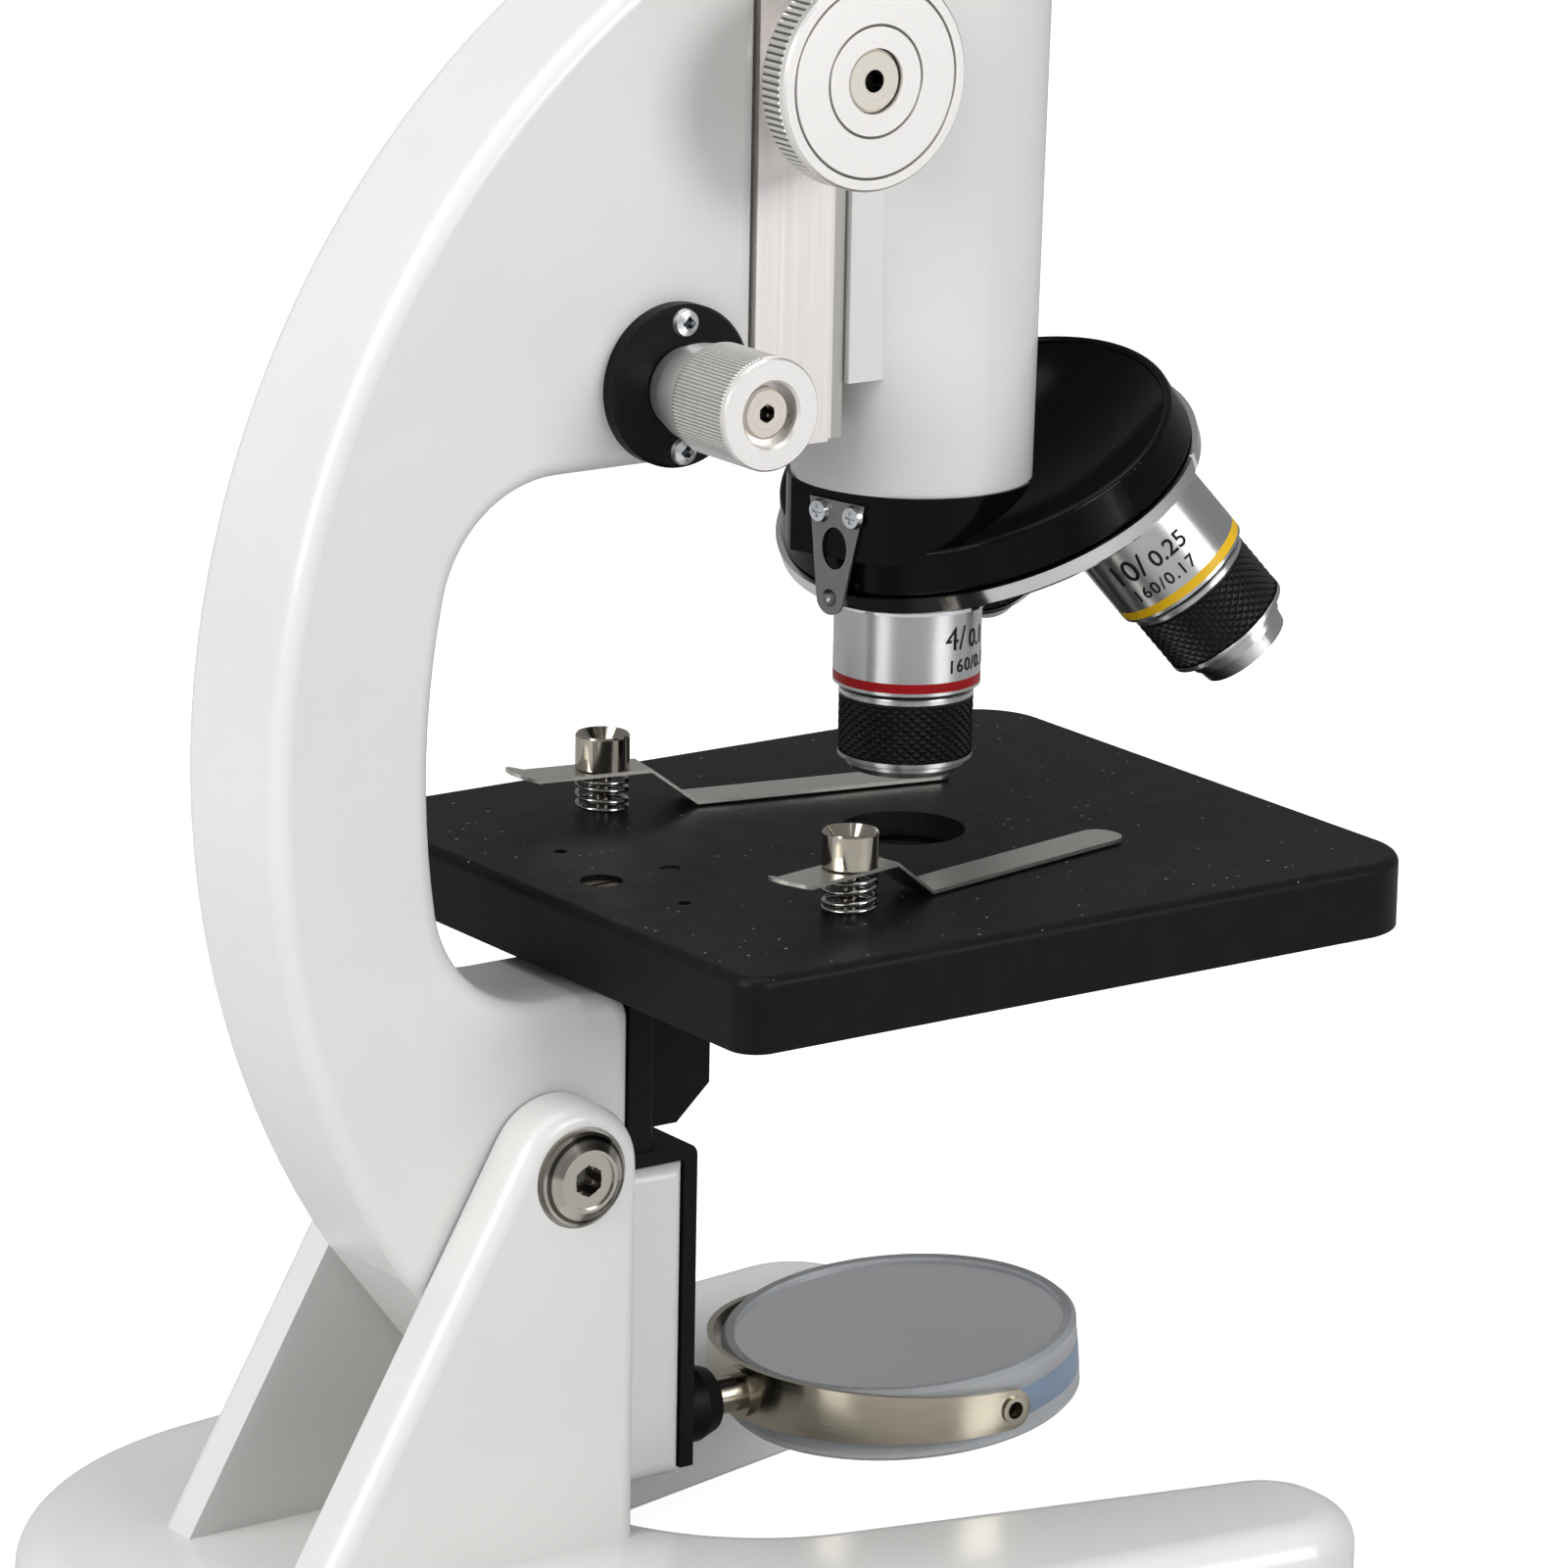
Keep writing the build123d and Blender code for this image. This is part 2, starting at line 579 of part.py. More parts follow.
def knob_screw(radius, across):
    """Low screw head with a hexagon socket."""
    head = turned([(0, 0), (radius, 0), (radius, 2.2), (radius - 0.4, 2.6), (0, 2.6)])
    return head - Pos(0, 0, 2.6) * hex_socket(across, 1.6)


def fine_knob_screws():
    """Socket screws in both fine knobs."""
    screw = Pos(FINE_KNOB_FACE - FINE_KNOB_SEAT, FINE_Y, FINE_Z) * ALONG_X * knob_screw(3.9, 2.5)
    return screw + mirrored(screw)


def wedge_top(x):
    """Height of the wedge's slope above the shaft at a place along X."""
    return 5.5 - WEDGE_SLOPE * x


def fine_wedge():
    """Nut on the lead screw whose sloping top lifts the follower as it travels along the shaft."""
    half = 4.0
    foot = -5.5
    side = Polyline(
        (-half, foot),
        (half, foot),
        (half, wedge_top(half)),
        (-half, wedge_top(-half)),
        close=True,
    )
    nut = extrude(Plane.XZ * make_face(side), amount=6, both=True)
    nut -= ALONG_X * Cylinder(FINE_SHAFT_R + RUNNING_FIT, 30)
    return Pos(0, FINE_Y, FINE_Z) * nut


def block_follower():
    """Finger on the back of the slide block that rides on the wedge."""
    half = 3.4
    lift = 0.1
    side = Polyline(
        (-half, wedge_top(-half) + lift),
        (half, wedge_top(half) + lift),
        (half, 9.6),
        (-half, 9.6),
        close=True,
    )
    finger = extrude(Plane.XZ * make_face(side), amount=-(BLOCK_REAR_Y - FINE_Y + 3))
    finger = Pos(0, FINE_Y - 3, FINE_Z) * finger
    return finger - extrude(way_profile(0), amount=BLOCK_TOP - BLOCK_BOTTOM + 6)


# Slide block and coarse focus

def dovetail(front, rear, neck, wide):
    """Section of the dovetail between the slide block and the rail."""
    return make_face(Polyline((-neck, front), (neck, front), (wide, rear), (-wide, rear), close=True))


def slide_block():
    """Extruded aluminium block: broad body, stepped lips, dovetail groove in front and tongue behind."""
    height = BLOCK_TOP - BLOCK_BOTTOM
    section = Rectangle(2 * BLOCK_HALF_X, BLOCK_STEP_Y - BLOCK_REAR_Y)
    section = Pos(0, (BLOCK_STEP_Y + BLOCK_REAR_Y) / 2) * section
    lip = Rectangle(2 * BLOCK_LIP_HALF_X, BLOCK_LIP_Y - BLOCK_STEP_Y)
    lip = Pos(0, (BLOCK_STEP_Y + BLOCK_LIP_Y) / 2) * lip
    section = section + lip - dovetail(BLOCK_LIP_Y, TONGUE_REAR_Y - 0.4, 6.4, 8.5)
    body = Pos(0, 0, BLOCK_BOTTOM) * extrude(section, amount=height)
    body += Pos(0, 0, 6) * extrude(way_profile(0), amount=height)
    chamber = block(-9, 9, COARSE_Y - 7.2, TONGUE_REAR_Y, COARSE_Z - 7.5, COARSE_Z + 7.5)
    body -= chamber
    body -= block(-5, 5, COARSE_Y + PITCH_R - ADDENDUM - 0.5, TONGUE_REAR_Y, BLOCK_BOTTOM - 1, BLOCK_TOP + 1)
    return body - rod_x(COARSE_SHAFT_R + RUNNING_FIT, -20, 20, COARSE_Y, COARSE_Z)


def involute_angle(radius, base_r):
    """Polar angle of the involute where it reaches a radius."""
    slope = acos(base_r / radius)
    return tan(slope) - slope


def pinion_section():
    """Involute gear section with a tooth pointing towards the rack."""
    base_r = PITCH_R * cos(radians(PRESSURE_ANGLE))
    root_r = PITCH_R - DEDENDUM
    tip_r = PITCH_R + ADDENDUM
    half_tooth = (pi * MODULE / 2 - BACKLASH) / (2 * PITCH_R) + involute_angle(PITCH_R, base_r)
    radii = [base_r + (tip_r - base_r) * i / 4 for i in range(5)]
    flank = [(root_r, half_tooth)] + [(r, half_tooth - involute_angle(r, base_r)) for r in radii]
    points = []
    for tooth in range(PINION_TEETH):
        centre = 2 * pi * tooth / PINION_TEETH
        points += [(r * cos(centre - a), r * sin(centre - a)) for r, a in flank]
        points += [(r * cos(centre + a), r * sin(centre + a)) for r, a in reversed(flank)]
    return make_face(Polyline(*points, close=True))


def pinion_shaft():
    """Cross shaft with the pinion that drives the rack, cut in one piece."""
    pinion = extrude(pinion_section(), amount=4.4, both=True)
    gear = Plane(origin=(0, COARSE_Y, COARSE_Z), x_dir=(0, 1, 0), z_dir=(1, 0, 0)).location * pinion
    return gear + rod_x(COARSE_SHAFT_R, -COARSE_KNOB_FACE + 3, COARSE_KNOB_FACE - 3, COARSE_Y, COARSE_Z)


def coarse_knob():
    """Satin disc knob on a short neck, with two face grooves and a seat for its screw."""
    start = BLOCK_HALF_X + GAP
    length = COARSE_KNOB_FACE - start
    back = length - 6.6
    r = COARSE_KNOB_R
    root = r - KNURL_DEPTH
    lip = length - 0.6 - KNURL_LIP
    bore = COARSE_SHAFT_R + SEAT_FIT
    outline = [(bore, 0), (6.0, 0), (6.0, back), (root - 0.4, back), (root, back + 0.4), (root, lip),
               (r, lip), (r, length - 0.4), (r - 0.4, length)]
    for groove in (14.4, 8.3):
        outline += [(groove + 0.2, length), (groove, length - 0.35), (groove - 0.2, length)]
    outline += [(4.9, length), (4.9, length - 3.0), (bore, length - 3.0)]
    return Pos(start, COARSE_Y, COARSE_Z) * ALONG_X * turned(outline)


def coarse_knob_screws():
    """Socket screws in both coarse knobs."""
    screw = Pos(COARSE_KNOB_FACE - 3, COARSE_Y, COARSE_Z) * ALONG_X * knob_screw(4.7, 3.0)
    return screw + mirrored(screw)


def rack():
    """Straight rack let into the rail's tongue, in mesh with the pinion."""
    pitch = pi * MODULE
    pitch_y = COARSE_Y + PITCH_R
    root_y = pitch_y + DEDENDUM
    tip_y = pitch_y - ADDENDUM
    slope = tan(radians(PRESSURE_ANGLE))
    gap_half = (pi * MODULE / 2 + BACKLASH) / 2
    strip = block(-RACK_HALF_X, RACK_HALF_X, tip_y, root_y + RACK_BACKING, RAIL_BOTTOM, COARSE_Z + 5 * pitch)
    root_half = gap_half - DEDENDUM * slope
    tip_half = gap_half + ADDENDUM * slope
    notch = make_face(Polyline((root_y, -root_half), (root_y, root_half), (tip_y - 0.01, tip_half),
                               (tip_y - 0.01, -tip_half), close=True))
    cutter = extrude(Plane.YZ * notch, amount=6, both=True)
    teeth = Part()
    for index in range(-19, 5):
        teeth += Pos(0, 0, COARSE_Z + index * pitch) * cutter
    return strip - teeth


# Body tube, rail and eyepiece

def tube_radius(z):
    """Outside radius of the gently tapering tube at a height."""
    return TUBE_R + TUBE_TAPER * (z - TUBE_BOTTOM)


def tube_core(bottom, top):
    """Solid cone on the optical axis that fills the tube's outside."""
    cone = turned([(0, bottom), (tube_radius(bottom), bottom), (tube_radius(top), top), (0, top)])
    return Pos(0, AXIS_Y, 0) * cone


def body_tube():
    """White body tube with a rounded crown and a counterbored seat at each end."""
    tube = tube_core(TUBE_BOTTOM, TUBE_TOP)
    tube = fillet(tube.faces().sort_by(Axis.Z)[-1].edges(), 3.0)
    bore = [(0, TUBE_BOTTOM - 1), (TUBE_BORE_R, TUBE_BOTTOM - 1), (TUBE_BORE_R, TUBE_TOP - 14),
            (COLLAR_R, TUBE_TOP - 12), (COLLAR_R, TUBE_TOP + 1), (0, TUBE_TOP + 1)]
    return tube - Pos(0, AXIS_Y, 0) * turned(bore)


def tube_rail():
    """White rail on the back of the tube, with the male dovetail and a groove for the rack."""
    length = RAIL_TOP - RAIL_BOTTOM
    pad = Pos(0, (RAIL_REAR_Y + AXIS_Y) / 2) * Rectangle(2 * RAIL_HALF_X, AXIS_Y - RAIL_REAR_Y)
    section = pad + dovetail(RAIL_REAR_Y + 0.1, TONGUE_REAR_Y, 6.0, 7.9)
    rail = Pos(0, 0, RAIL_BOTTOM) * extrude(section, amount=length)
    rail -= tube_core(TUBE_BOTTOM, TUBE_TOP)
    rack_back = COARSE_Y + PITCH_R + DEDENDUM + RACK_BACKING
    x = RACK_HALF_X
    return rail - block(-x, x, TONGUE_REAR_Y - 1, rack_back, RAIL_BOTTOM - 1, RAIL_TOP + 1)


def eyepiece_tube():
    """Black collar in the tube's mouth that takes a 23.2 mm eyepiece."""
    bore = EYEPIECE_R + RUNNING_FIT
    seat = COLLAR_R - SEAT_FIT
    outline = [(bore, TUBE_TOP - 11.5), (seat, TUBE_TOP - 11.5), (seat, TUBE_TOP), (15.0, TUBE_TOP),
               (15.0, TUBE_TOP + 5), (14.4, TUBE_TOP + 5.6), (bore, TUBE_TOP + 5.6)]
    return Pos(0, AXIS_Y, 0) * turned(outline)


def eyepiece():
    """Drop-in eyepiece: barrel, flange and waisted eyecup round the eye lens."""
    z = TUBE_TOP + 5.6 + 0.1
    inner = 9.6
    outline = [(inner, z - 24), (EYEPIECE_R, z - 24), (EYEPIECE_R, z), (14.2, z), (14.2, z + 3.5),
               (12.9, z + 4.5), (13.4, z + 14.5), (12.6, z + 15.5), (8.0, z + 14.0), (8.0, z + 11.5),
               (inner, z + 11.5)]
    return Pos(0, AXIS_Y, 0) * turned(outline)


def eyepiece_lenses():
    """Field lens low in the barrel and eye lens under the eyecup."""
    z = TUBE_TOP + 5.6 + 0.1
    field = turned([(0, z - 22.5), (9.55, z - 22.5), (9.55, z - 21), (6.5, z - 19.6), (0, z - 19)])
    eye = turned([(0, z + 8), (9.55, z + 8), (9.55, z + 11.4), (0, z + 11.4)])
    return Pos(0, AXIS_Y, 0) * (field + eye)


# Nosepiece: fixed dish, turning shell and three objectives

def heading(angle):
    """Horizontal unit vector at an angle from +Y, turning towards +X."""
    return Vector(sin(radians(angle)), cos(radians(angle)), 0)


def turret_axis():
    """Direction of the turret's axis, pointing down and forward."""
    return heading(TURRET_HEADING) * sin(radians(TURRET_TILT)) + Vector(0, 0, -cos(radians(TURRET_TILT)))


def objective_axis(index):
    """Direction of one objective, turned by thirds of a circle about the turret's axis."""
    straight_down = Vector(0, 0, -1)
    return straight_down.rotate(Axis((0, 0, 0), turret_axis()), -120 * index)


def place(direction):
    """Location at the apex with local Z along a direction."""
    side = Vector(cos(radians(TURRET_HEADING)), -sin(radians(TURRET_HEADING)), 0)
    return Plane(origin=(0, AXIS_Y, APEX_Z), x_dir=side, z_dir=direction).location


def sphere_drop(sphere_r, radius):
    """How far below the apex a sphere about it lies at a radius from the turret's axis."""
    return sqrt(sphere_r**2 - radius**2)


def cap_arc(sphere_r, radius):
    """Arc of a sphere about the apex from the turret's axis out to a radius."""
    middle = (radius / 2, sphere_drop(sphere_r, radius / 2))
    return ThreePointArc((0, sphere_r), middle, (radius, sphere_drop(sphere_r, radius)))


def spun(edges):
    """A solid turned about local Z from the closed outline of its half section."""
    return revolve(Plane.XZ * make_face(edges), axis=Axis.Z)


def shell_room():
    """Everything below the dish: the space in which the shell and the objectives turn."""
    roof = cap_arc(DISH_UNDER_R, 30.0)
    far = 70.0
    walls = Polyline(roof @ 1, (31.6, SKIRT_DROP), (far, SKIRT_DROP), (far, far), (0, far), roof @ 0)
    return spun([roof] + walls.edges())


def dish():
    """Concave dish with a rounded crest and a flaring skirt."""
    bowl = cap_arc(DISH_R, DISH_EDGE_R)
    crest = ThreePointArc(bowl @ 1, (30.85, CREST_DROP - 0.7), (31.6, CREST_DROP))
    low = SKIRT_DROP
    skirt = Polyline(crest @ 1, (SKIRT_R, low - 0.4), (SKIRT_R, low), (0, low + 12), bowl @ 0)
    return spun([bowl, crest] + skirt.edges())


def nosepiece_body():
    """Glossy black dish, and the neck with its spigot that joins the dish to the tube."""
    neck = rod_z(NECK_R, 0, AXIS_Y, APEX_Z - 62, TUBE_BOTTOM)
    neck += rod_z(TUBE_BORE_R - SEAT_FIT, 0, AXIS_Y, TUBE_BOTTOM - 2, TUBE_BOTTOM + 8)
    neck -= click_place() * (Pos(0, -20, 10) * Box(40, 40, 20))
    neck -= place(turret_axis()) * (Pos(0, 0, CREST_DROP + 40) * Cylinder(90, 80))
    body = neck + place(turret_axis()) * dish()
    body -= place(turret_axis()) * shell_room()
    body -= rod_z(LIGHT_R, 0, AXIS_Y, APEX_Z - 60, TUBE_BOTTOM + 20)
    for side in (-1, 1):
        hole = Pos(side * CLICK_SCREW_X, CLICK_SCREW_DROP, -1.6) * Cylinder(CLICK_SCREW_R + SEAT_FIT, 3.6)
        body -= click_place() * hole
    return body - place(turret_axis()) * (Pos(0, 0, 48) * Cylinder(PIN_R + SEAT_FIT, 14))


def turret_shell():
    """Chrome shell under the dish, its underside a cone, with three bosses bored for the objectives."""
    roof = cap_arc(SHELL_R, 29.6)
    slope = tan(radians(TURRET_TILT))
    seat_r = SEAT * sin(radians(TURRET_TILT))
    seat_z = SEAT * cos(radians(TURRET_TILT)) - 0.6
    hub = 9.0
    edge = CHROME_R - 0.6
    walls = Polyline(
        roof @ 1,
        (31.2, SKIRT_DROP + GAP),
        (CHROME_R, SKIRT_DROP + GAP),
        (CHROME_R, seat_z - (edge - seat_r) * slope - 0.6),
        (edge, seat_z - (edge - seat_r) * slope),
        (hub, seat_z + (seat_r - hub) * slope),
        (0, seat_z + (seat_r - hub) * slope),
        roof @ 0,
    )
    shell = place(turret_axis()) * spun([roof] + walls.edges())
    for index in range(3):
        boss = Pos(0, 0, SEAT - 2) * Cylinder(BOSS_R, 4)
        shell += place(objective_axis(index)) * (boss - Sphere(SHELL_R + 0.5))
    for index in range(3):
        shell -= place(objective_axis(index)) * (Pos(0, 0, SEAT) * Cylinder(THREAD_R + SEAT_FIT, 20))
        shell -= place(turret_axis()) * Rot(0, 0, notch_angle() + 120 * index) * notch()
    return shell - place(turret_axis()) * (Pos(0, 0, 50) * Cylinder(PIN_R + RUNNING_FIT, 16))


def notch_angle():
    """Angle about the turret's axis, from its local X, of the place that the click spring faces."""
    tip = click_place() * Pos(CLICK_TIP_X, CLICK_TIP_DROP, 0)
    local = place(turret_axis()).inverse() * tip
    return degrees(atan2(local.position.Y, local.position.X))


def notch():
    """Upright V-shaped cutter for one click notch in the shell's rim, on local X."""
    half = NOTCH_DEPTH + 1
    outside = CHROME_R + 1
    wedge = Polyline((CHROME_R - NOTCH_DEPTH, 0), (outside, -half), (outside, half), close=True)
    return Pos(0, 0, SKIRT_DROP) * extrude(make_face(wedge), amount=8)


def turret_screw():
    """Centre screw on which the shell turns."""
    slope = tan(radians(TURRET_TILT))
    under = SEAT * cos(radians(TURRET_TILT)) - 0.6 + (SEAT * sin(radians(TURRET_TILT)) - 9.0) * slope + GAP
    head = turned([(0, 0), (5.0, 0), (5.0, 1.6), (4.2, 2.2), (0, 2.2)])
    screw = Pos(0, 0, under) * (head - Pos(0, 0, 2.2) * Box(1.0, 12, 1.6))
    top = DISH_R + 0.2
    screw += Pos(0, 0, (under + top) / 2) * Cylinder(PIN_R, under - top)
    return place(turret_axis()) * screw


def click_place():
    """Location on the flat at the back of the neck, local X sideways and local Y up the leaf."""
    back = heading(CLICK_HEADING)
    side = Vector(-back.Y, back.X, 0)
    origin = Vector(0, AXIS_Y, TUBE_BOTTOM) + back * CLICK_SEAT
    return Plane(origin=origin, x_dir=side, z_dir=back).location


def click_spring():
    """Flat tapering leaf with an oval window and a dimple that faces the shell's rim."""
    top = Line((-5.6, -2.0), (5.6, -2.0))
    tip = Pos(CLICK_TIP_X, CLICK_TIP_DROP) * Circle(2.7)
    leaf = make_hull([top] + tip.edges())
    leaf -= Pos(-0.4, -9.5) * Ellipse(2.5, 3.3)
    for side in (-1, 1):
        leaf -= Pos(side * CLICK_SCREW_X, CLICK_SCREW_DROP) * Circle(CLICK_SCREW_R)
    sheet = extrude(leaf, amount=CLICK_SHEET)
    bump = Pos(0, 0, 0.6) * Sphere(2.0) & Pos(0, 0, -1) * Box(4, 4, 2.1)
    dimple = Pos(0, 0, 1.5) * Sphere(1.7)
    return click_place() * (sheet + Pos(CLICK_TIP_X, CLICK_TIP_DROP, 0) * bump
                            - Pos(CLICK_TIP_X, CLICK_TIP_DROP, 0) * dimple)


def click_screws():
    """Two small screws that hold the leaf on the neck."""
    head = turned([(0, 0), (1.9, 0), (1.6, 0.8), (0, 0.9)]) - Pos(0, 0, 1.0) * cross_recess(1.9, 0.5)
    screw = head + Pos(0, 0, -1.5) * Cylinder(CLICK_SCREW_R, 3.2)
    group = Part()
    for side in (-1, 1):
        group += Pos(side * CLICK_SCREW_X, CLICK_SCREW_DROP, CLICK_SHEET) * screw
    return click_place() * group


def objective_barrel(name):
    """Silver barrel with thread, seat for the colour band, core under the sleeve and stepped tip."""
    core = SLEEVE_R - SLEEVE_WALL
    seat = OBJECTIVE_R - BAND_DEPTH
    band_end = BAND_TOP + BAND_WIDTH
    sleeve_end = SLEEVE_TOP + SLEEVE_LENGTH
    lens_r = TIPS[name][-1][0]
    outline = [(7.0, SEAT - 4.2), (THREAD_R, SEAT - 4.2), (THREAD_R, SEAT), (OBJECTIVE_R, SEAT),
               (OBJECTIVE_R, BAND_TOP), (seat, BAND_TOP), (seat, band_end),
               (OBJECTIVE_R, band_end), (OBJECTIVE_R, band_end + 0.5), (10.2, band_end + 0.7), (10.2, 67.9),
               (SLEEVE_R, 67.9), (SLEEVE_R, SLEEVE_TOP), (core, SLEEVE_TOP), (core, sleeve_end)]
    outline += TIPS[name]
    end = TIPS[name][-1][1]
    outline += [(lens_r, end - 1.6), (7.0, 74.0)] if lens_r < 7.0 else [(lens_r, end - 1.6), (lens_r, 74.0)]
    return turned(outline)


def objective_band():
    """Painted colour band let into the barrel."""
    outer = OBJECTIVE_R
    inner = outer - BAND_DEPTH + SEAT_FIT
    end = BAND_TOP + BAND_WIDTH
    return turned([(inner, BAND_TOP), (outer, BAND_TOP), (outer, end), (inner, end)])


def objective_sleeve():
    """Black grip sleeve below the band: a knurled length between two plain lips."""
    core = SLEEVE_R - SLEEVE_WALL + SEAT_FIT
    root = SLEEVE_R - KNURL_DEPTH
    end = SLEEVE_TOP + SLEEVE_LENGTH
    top = SLEEVE_TOP + KNURL_LIP / 2
    foot = end - KNURL_LIP
    return turned([(core, SLEEVE_TOP), (SLEEVE_R, SLEEVE_TOP), (SLEEVE_R, top), (root, top), (root, foot),
                   (SLEEVE_R, foot), (SLEEVE_R, end), (core, end)])


def objective_lenses():
    """Front lens of each objective, three separate solids."""
    group = Part()
    for index, name in enumerate(TIPS):
        lens_r, end = TIPS[name][-1]
        lens = Pos(0, 0, end - 0.9) * Cylinder(lens_r - SEAT_FIT, 1.0)
        group += place(objective_axis(index)) * lens
    return group


# Mirror on its stem and fork

def mirror_plate():
    """Black plate on the front of the shank, folded over its top, with the boss for the stem."""
    side = Polyline(
        (ARM_WAIST_Y, SHANK_TOP_Z),
        (ARM_WAIST_Y, BRACKET_FOOT),
        (MIRROR_PLATE_FRONT, BRACKET_FOOT),
        (MIRROR_PLATE_FRONT, TAIL_FOOT_Z + 1),
        (SHANK_FRONT_Y, TAIL_FOOT_Z + 1),
        (SHANK_FRONT_Y, SHANK_TOP_Z),
        close=True,
    )
    plate = extrude(Plane.YZ * make_face(side), amount=12.2, both=True)
    bend = plate.edges().filter_by(Axis.X).sort_by_distance((0, MIRROR_PLATE_FRONT, BRACKET_FOOT))[0]
    plate = fillet(bend, 2.0)
    boss = turned([(0, 0), (6.2, 0), (6.2, BOSS_LENGTH - 3), (5.2, BOSS_LENGTH), (0, BOSS_LENGTH)])
    boss -= rod_z(STEM_R + RUNNING_FIT, 0, 0, BOSS_LENGTH - 9, BOSS_LENGTH + 1)
    return plate + Pos(0, MIRROR_PLATE_FRONT, MIRROR_Z) * Rot(-90, 0, 0) * boss


def mirror_stem():
    """Nickel stem that turns in the boss, with a collar at the fork."""
    back = BOSS_FRONT - 8.7
    fork_y = MIRROR_Y - FORK_SETBACK
    front = fork_y - FORK_OUTER_R + 0.35
    stem = [(0, back), (STEM_R, back), (STEM_R, front - 1.4), (4.2, front - 1.4), (4.2, front), (0, front)]
    solid = Rot(-90, 0, 0) * turned(stem)
    ring = Pos(0, fork_y, MIRROR_Z) * Cylinder(FORK_OUTER_R, 20)
    return Pos(0, 0, MIRROR_Z) * solid - ring


def mirror_fork():
    """U of nickel strip that narrows towards its round ends, which hold the mirror's eyelets."""
    bend = SlotCenterToCenter(2 * FORK_SETBACK, 2 * FORK_OUTER_R, rotation=90)
    room = SlotCenterToCenter(2 * FORK_SETBACK, 2 * FORK_INNER_R, rotation=90)
    ring = extrude(bend - room, amount=FORK_HEIGHT / 2, both=True)
    tip = FORK_TIP_HEIGHT / 2
    back = FORK_HEIGHT / 2
    rear = -FORK_OUTER_R - FORK_SETBACK
    strip = Polyline((0, -tip), (0, tip), (rear, back), (rear, -back), close=True)
    side = make_face(strip) + Circle(tip)
    half = ring & extrude(Plane.YZ * side, amount=FORK_OUTER_R + 1, both=True)
    half -= rod_x(EYELET_R + RUNNING_FIT, -FORK_OUTER_R - 1, FORK_OUTER_R + 1, 0, 0)
    return Pos(0, MIRROR_Y, MIRROR_Z) * half


def mirror_pivots():
    """Two hollow eyelets through the fork's ends on which the mirror tilts."""
    brim = FORK_OUTER_R + 0.05
    eyelet = rod_x(EYELET_R, MIRROR_R - 1.7, brim + 0.1, MIRROR_Y, MIRROR_Z)
    eyelet += rod_x(EYELET_R + 0.4, brim, brim + 0.4, MIRROR_Y, MIRROR_Z)
    eyelet -= rod_x(EYELET_R - 0.4, MIRROR_R - 1.1, brim + 1, MIRROR_Y, MIRROR_Z)
    return eyelet + mirrored(eyelet)


def tilted(solid):
    """A mirror piece, made about its own centre, set at its resting tilt."""
    return Pos(0, MIRROR_Y, MIRROR_Z) * Rot(MIRROR_TILT, 0, 0) * solid


def mirror_cell():
    """Clear cell round the two mirrors, bored for the pivots."""
    wall = MIRROR_R - 2.0
    rim = MIRROR_R - 0.7
    high = MIRROR_HALF
    rib = high - MIRROR_GLASS - 0.7
    outline = [(wall - 2, -rib), (wall, -rib), (wall, -high + 0.1), (rim, -high), (MIRROR_R, -high + 0.7),
               (MIRROR_R, high - 0.7), (rim, high), (wall, high - 0.1), (wall, rib), (wall - 2, rib)]
    return tilted(turned(outline) - rod_x(EYELET_R + RUNNING_FIT, -MIRROR_R - 1, MIRROR_R + 1, 0, 0))


def mirror_plane():
    """Plane mirror on the upper side."""
    face = MIRROR_HALF - 0.7
    return tilted(rod_z(MIRROR_GLASS_R, 0, 0, face - MIRROR_GLASS, face))


def mirror_concave():
    """Concave mirror on the under side."""
    sphere_r = 130.0
    hollow = 2.2
    face = MIRROR_HALF - 0.7
    disc = rod_z(MIRROR_GLASS_R, 0, 0, -face, MIRROR_GLASS - face)
    return tilted(disc - Pos(0, 0, hollow - face - sphere_r) * Sphere(sphere_r))


# Nodes

def objectives():
    """Barrel, band and sleeve of each objective in its place on the turret."""
    pieces = {}
    for index, name in enumerate(TIPS):
        spot = place(objective_axis(index))
        pieces[f"objective_{name}_barrel"] = spot * objective_barrel(name)
        pieces[f"objective_{name}_band"] = spot * objective_band()
        pieces[f"objective_{name}_sleeve"] = spot * objective_sleeve()
    return pieces


def pairs():
    """Pieces that stand on both sides of the plane of symmetry."""
    singles = {
        "clip_stud": clip_stud(),
        "clip_spring": clip_spring(),
        "clip_leaf": clip_leaf(),
        "fine_flange": fine_flange(),
        "fine_knob": fine_knob(),
        "coarse_knob": coarse_knob(),
    }
    both = {}
    for name, solid in singles.items():
        both[f"{name}_right"] = solid
        both[f"{name}_left"] = mirrored(solid)
    return both


MAKERS = (
    base, pivot_bolt, pivot_nut, arm, stage_bracket, stage, stage_screw, diaphragm_disc, diaphragm_screw,
    flange_screws, fine_shaft, fine_knob_screws, fine_wedge, block_follower, slide_block, pinion_shaft,
    coarse_knob_screws, body_tube, tube_rail, rack, eyepiece_tube, eyepiece, eyepiece_lenses, nosepiece_body,
    click_spring, click_screws, turret_shell, turret_screw, objective_lenses, mirror_plate, mirror_stem,
    mirror_fork, mirror_pivots, mirror_cell, mirror_plane, mirror_concave,
)

os.makedirs("parts", exist_ok=True)
nodes = {maker.__name__: maker() for maker in MAKERS}
nodes.update(pairs())
nodes.update(objectives())
for node, solid in nodes.items():
    export_step(solid, f"parts/{node}.step")
least_gap = coil_gap((SPRING_HEIGHT - WIRE) / SPRING_TURNS, SPRING_TURNS) - WIRE
print("least gap between turns of a clip spring", round(least_gap, 2))
print(len(nodes), "nodes written")
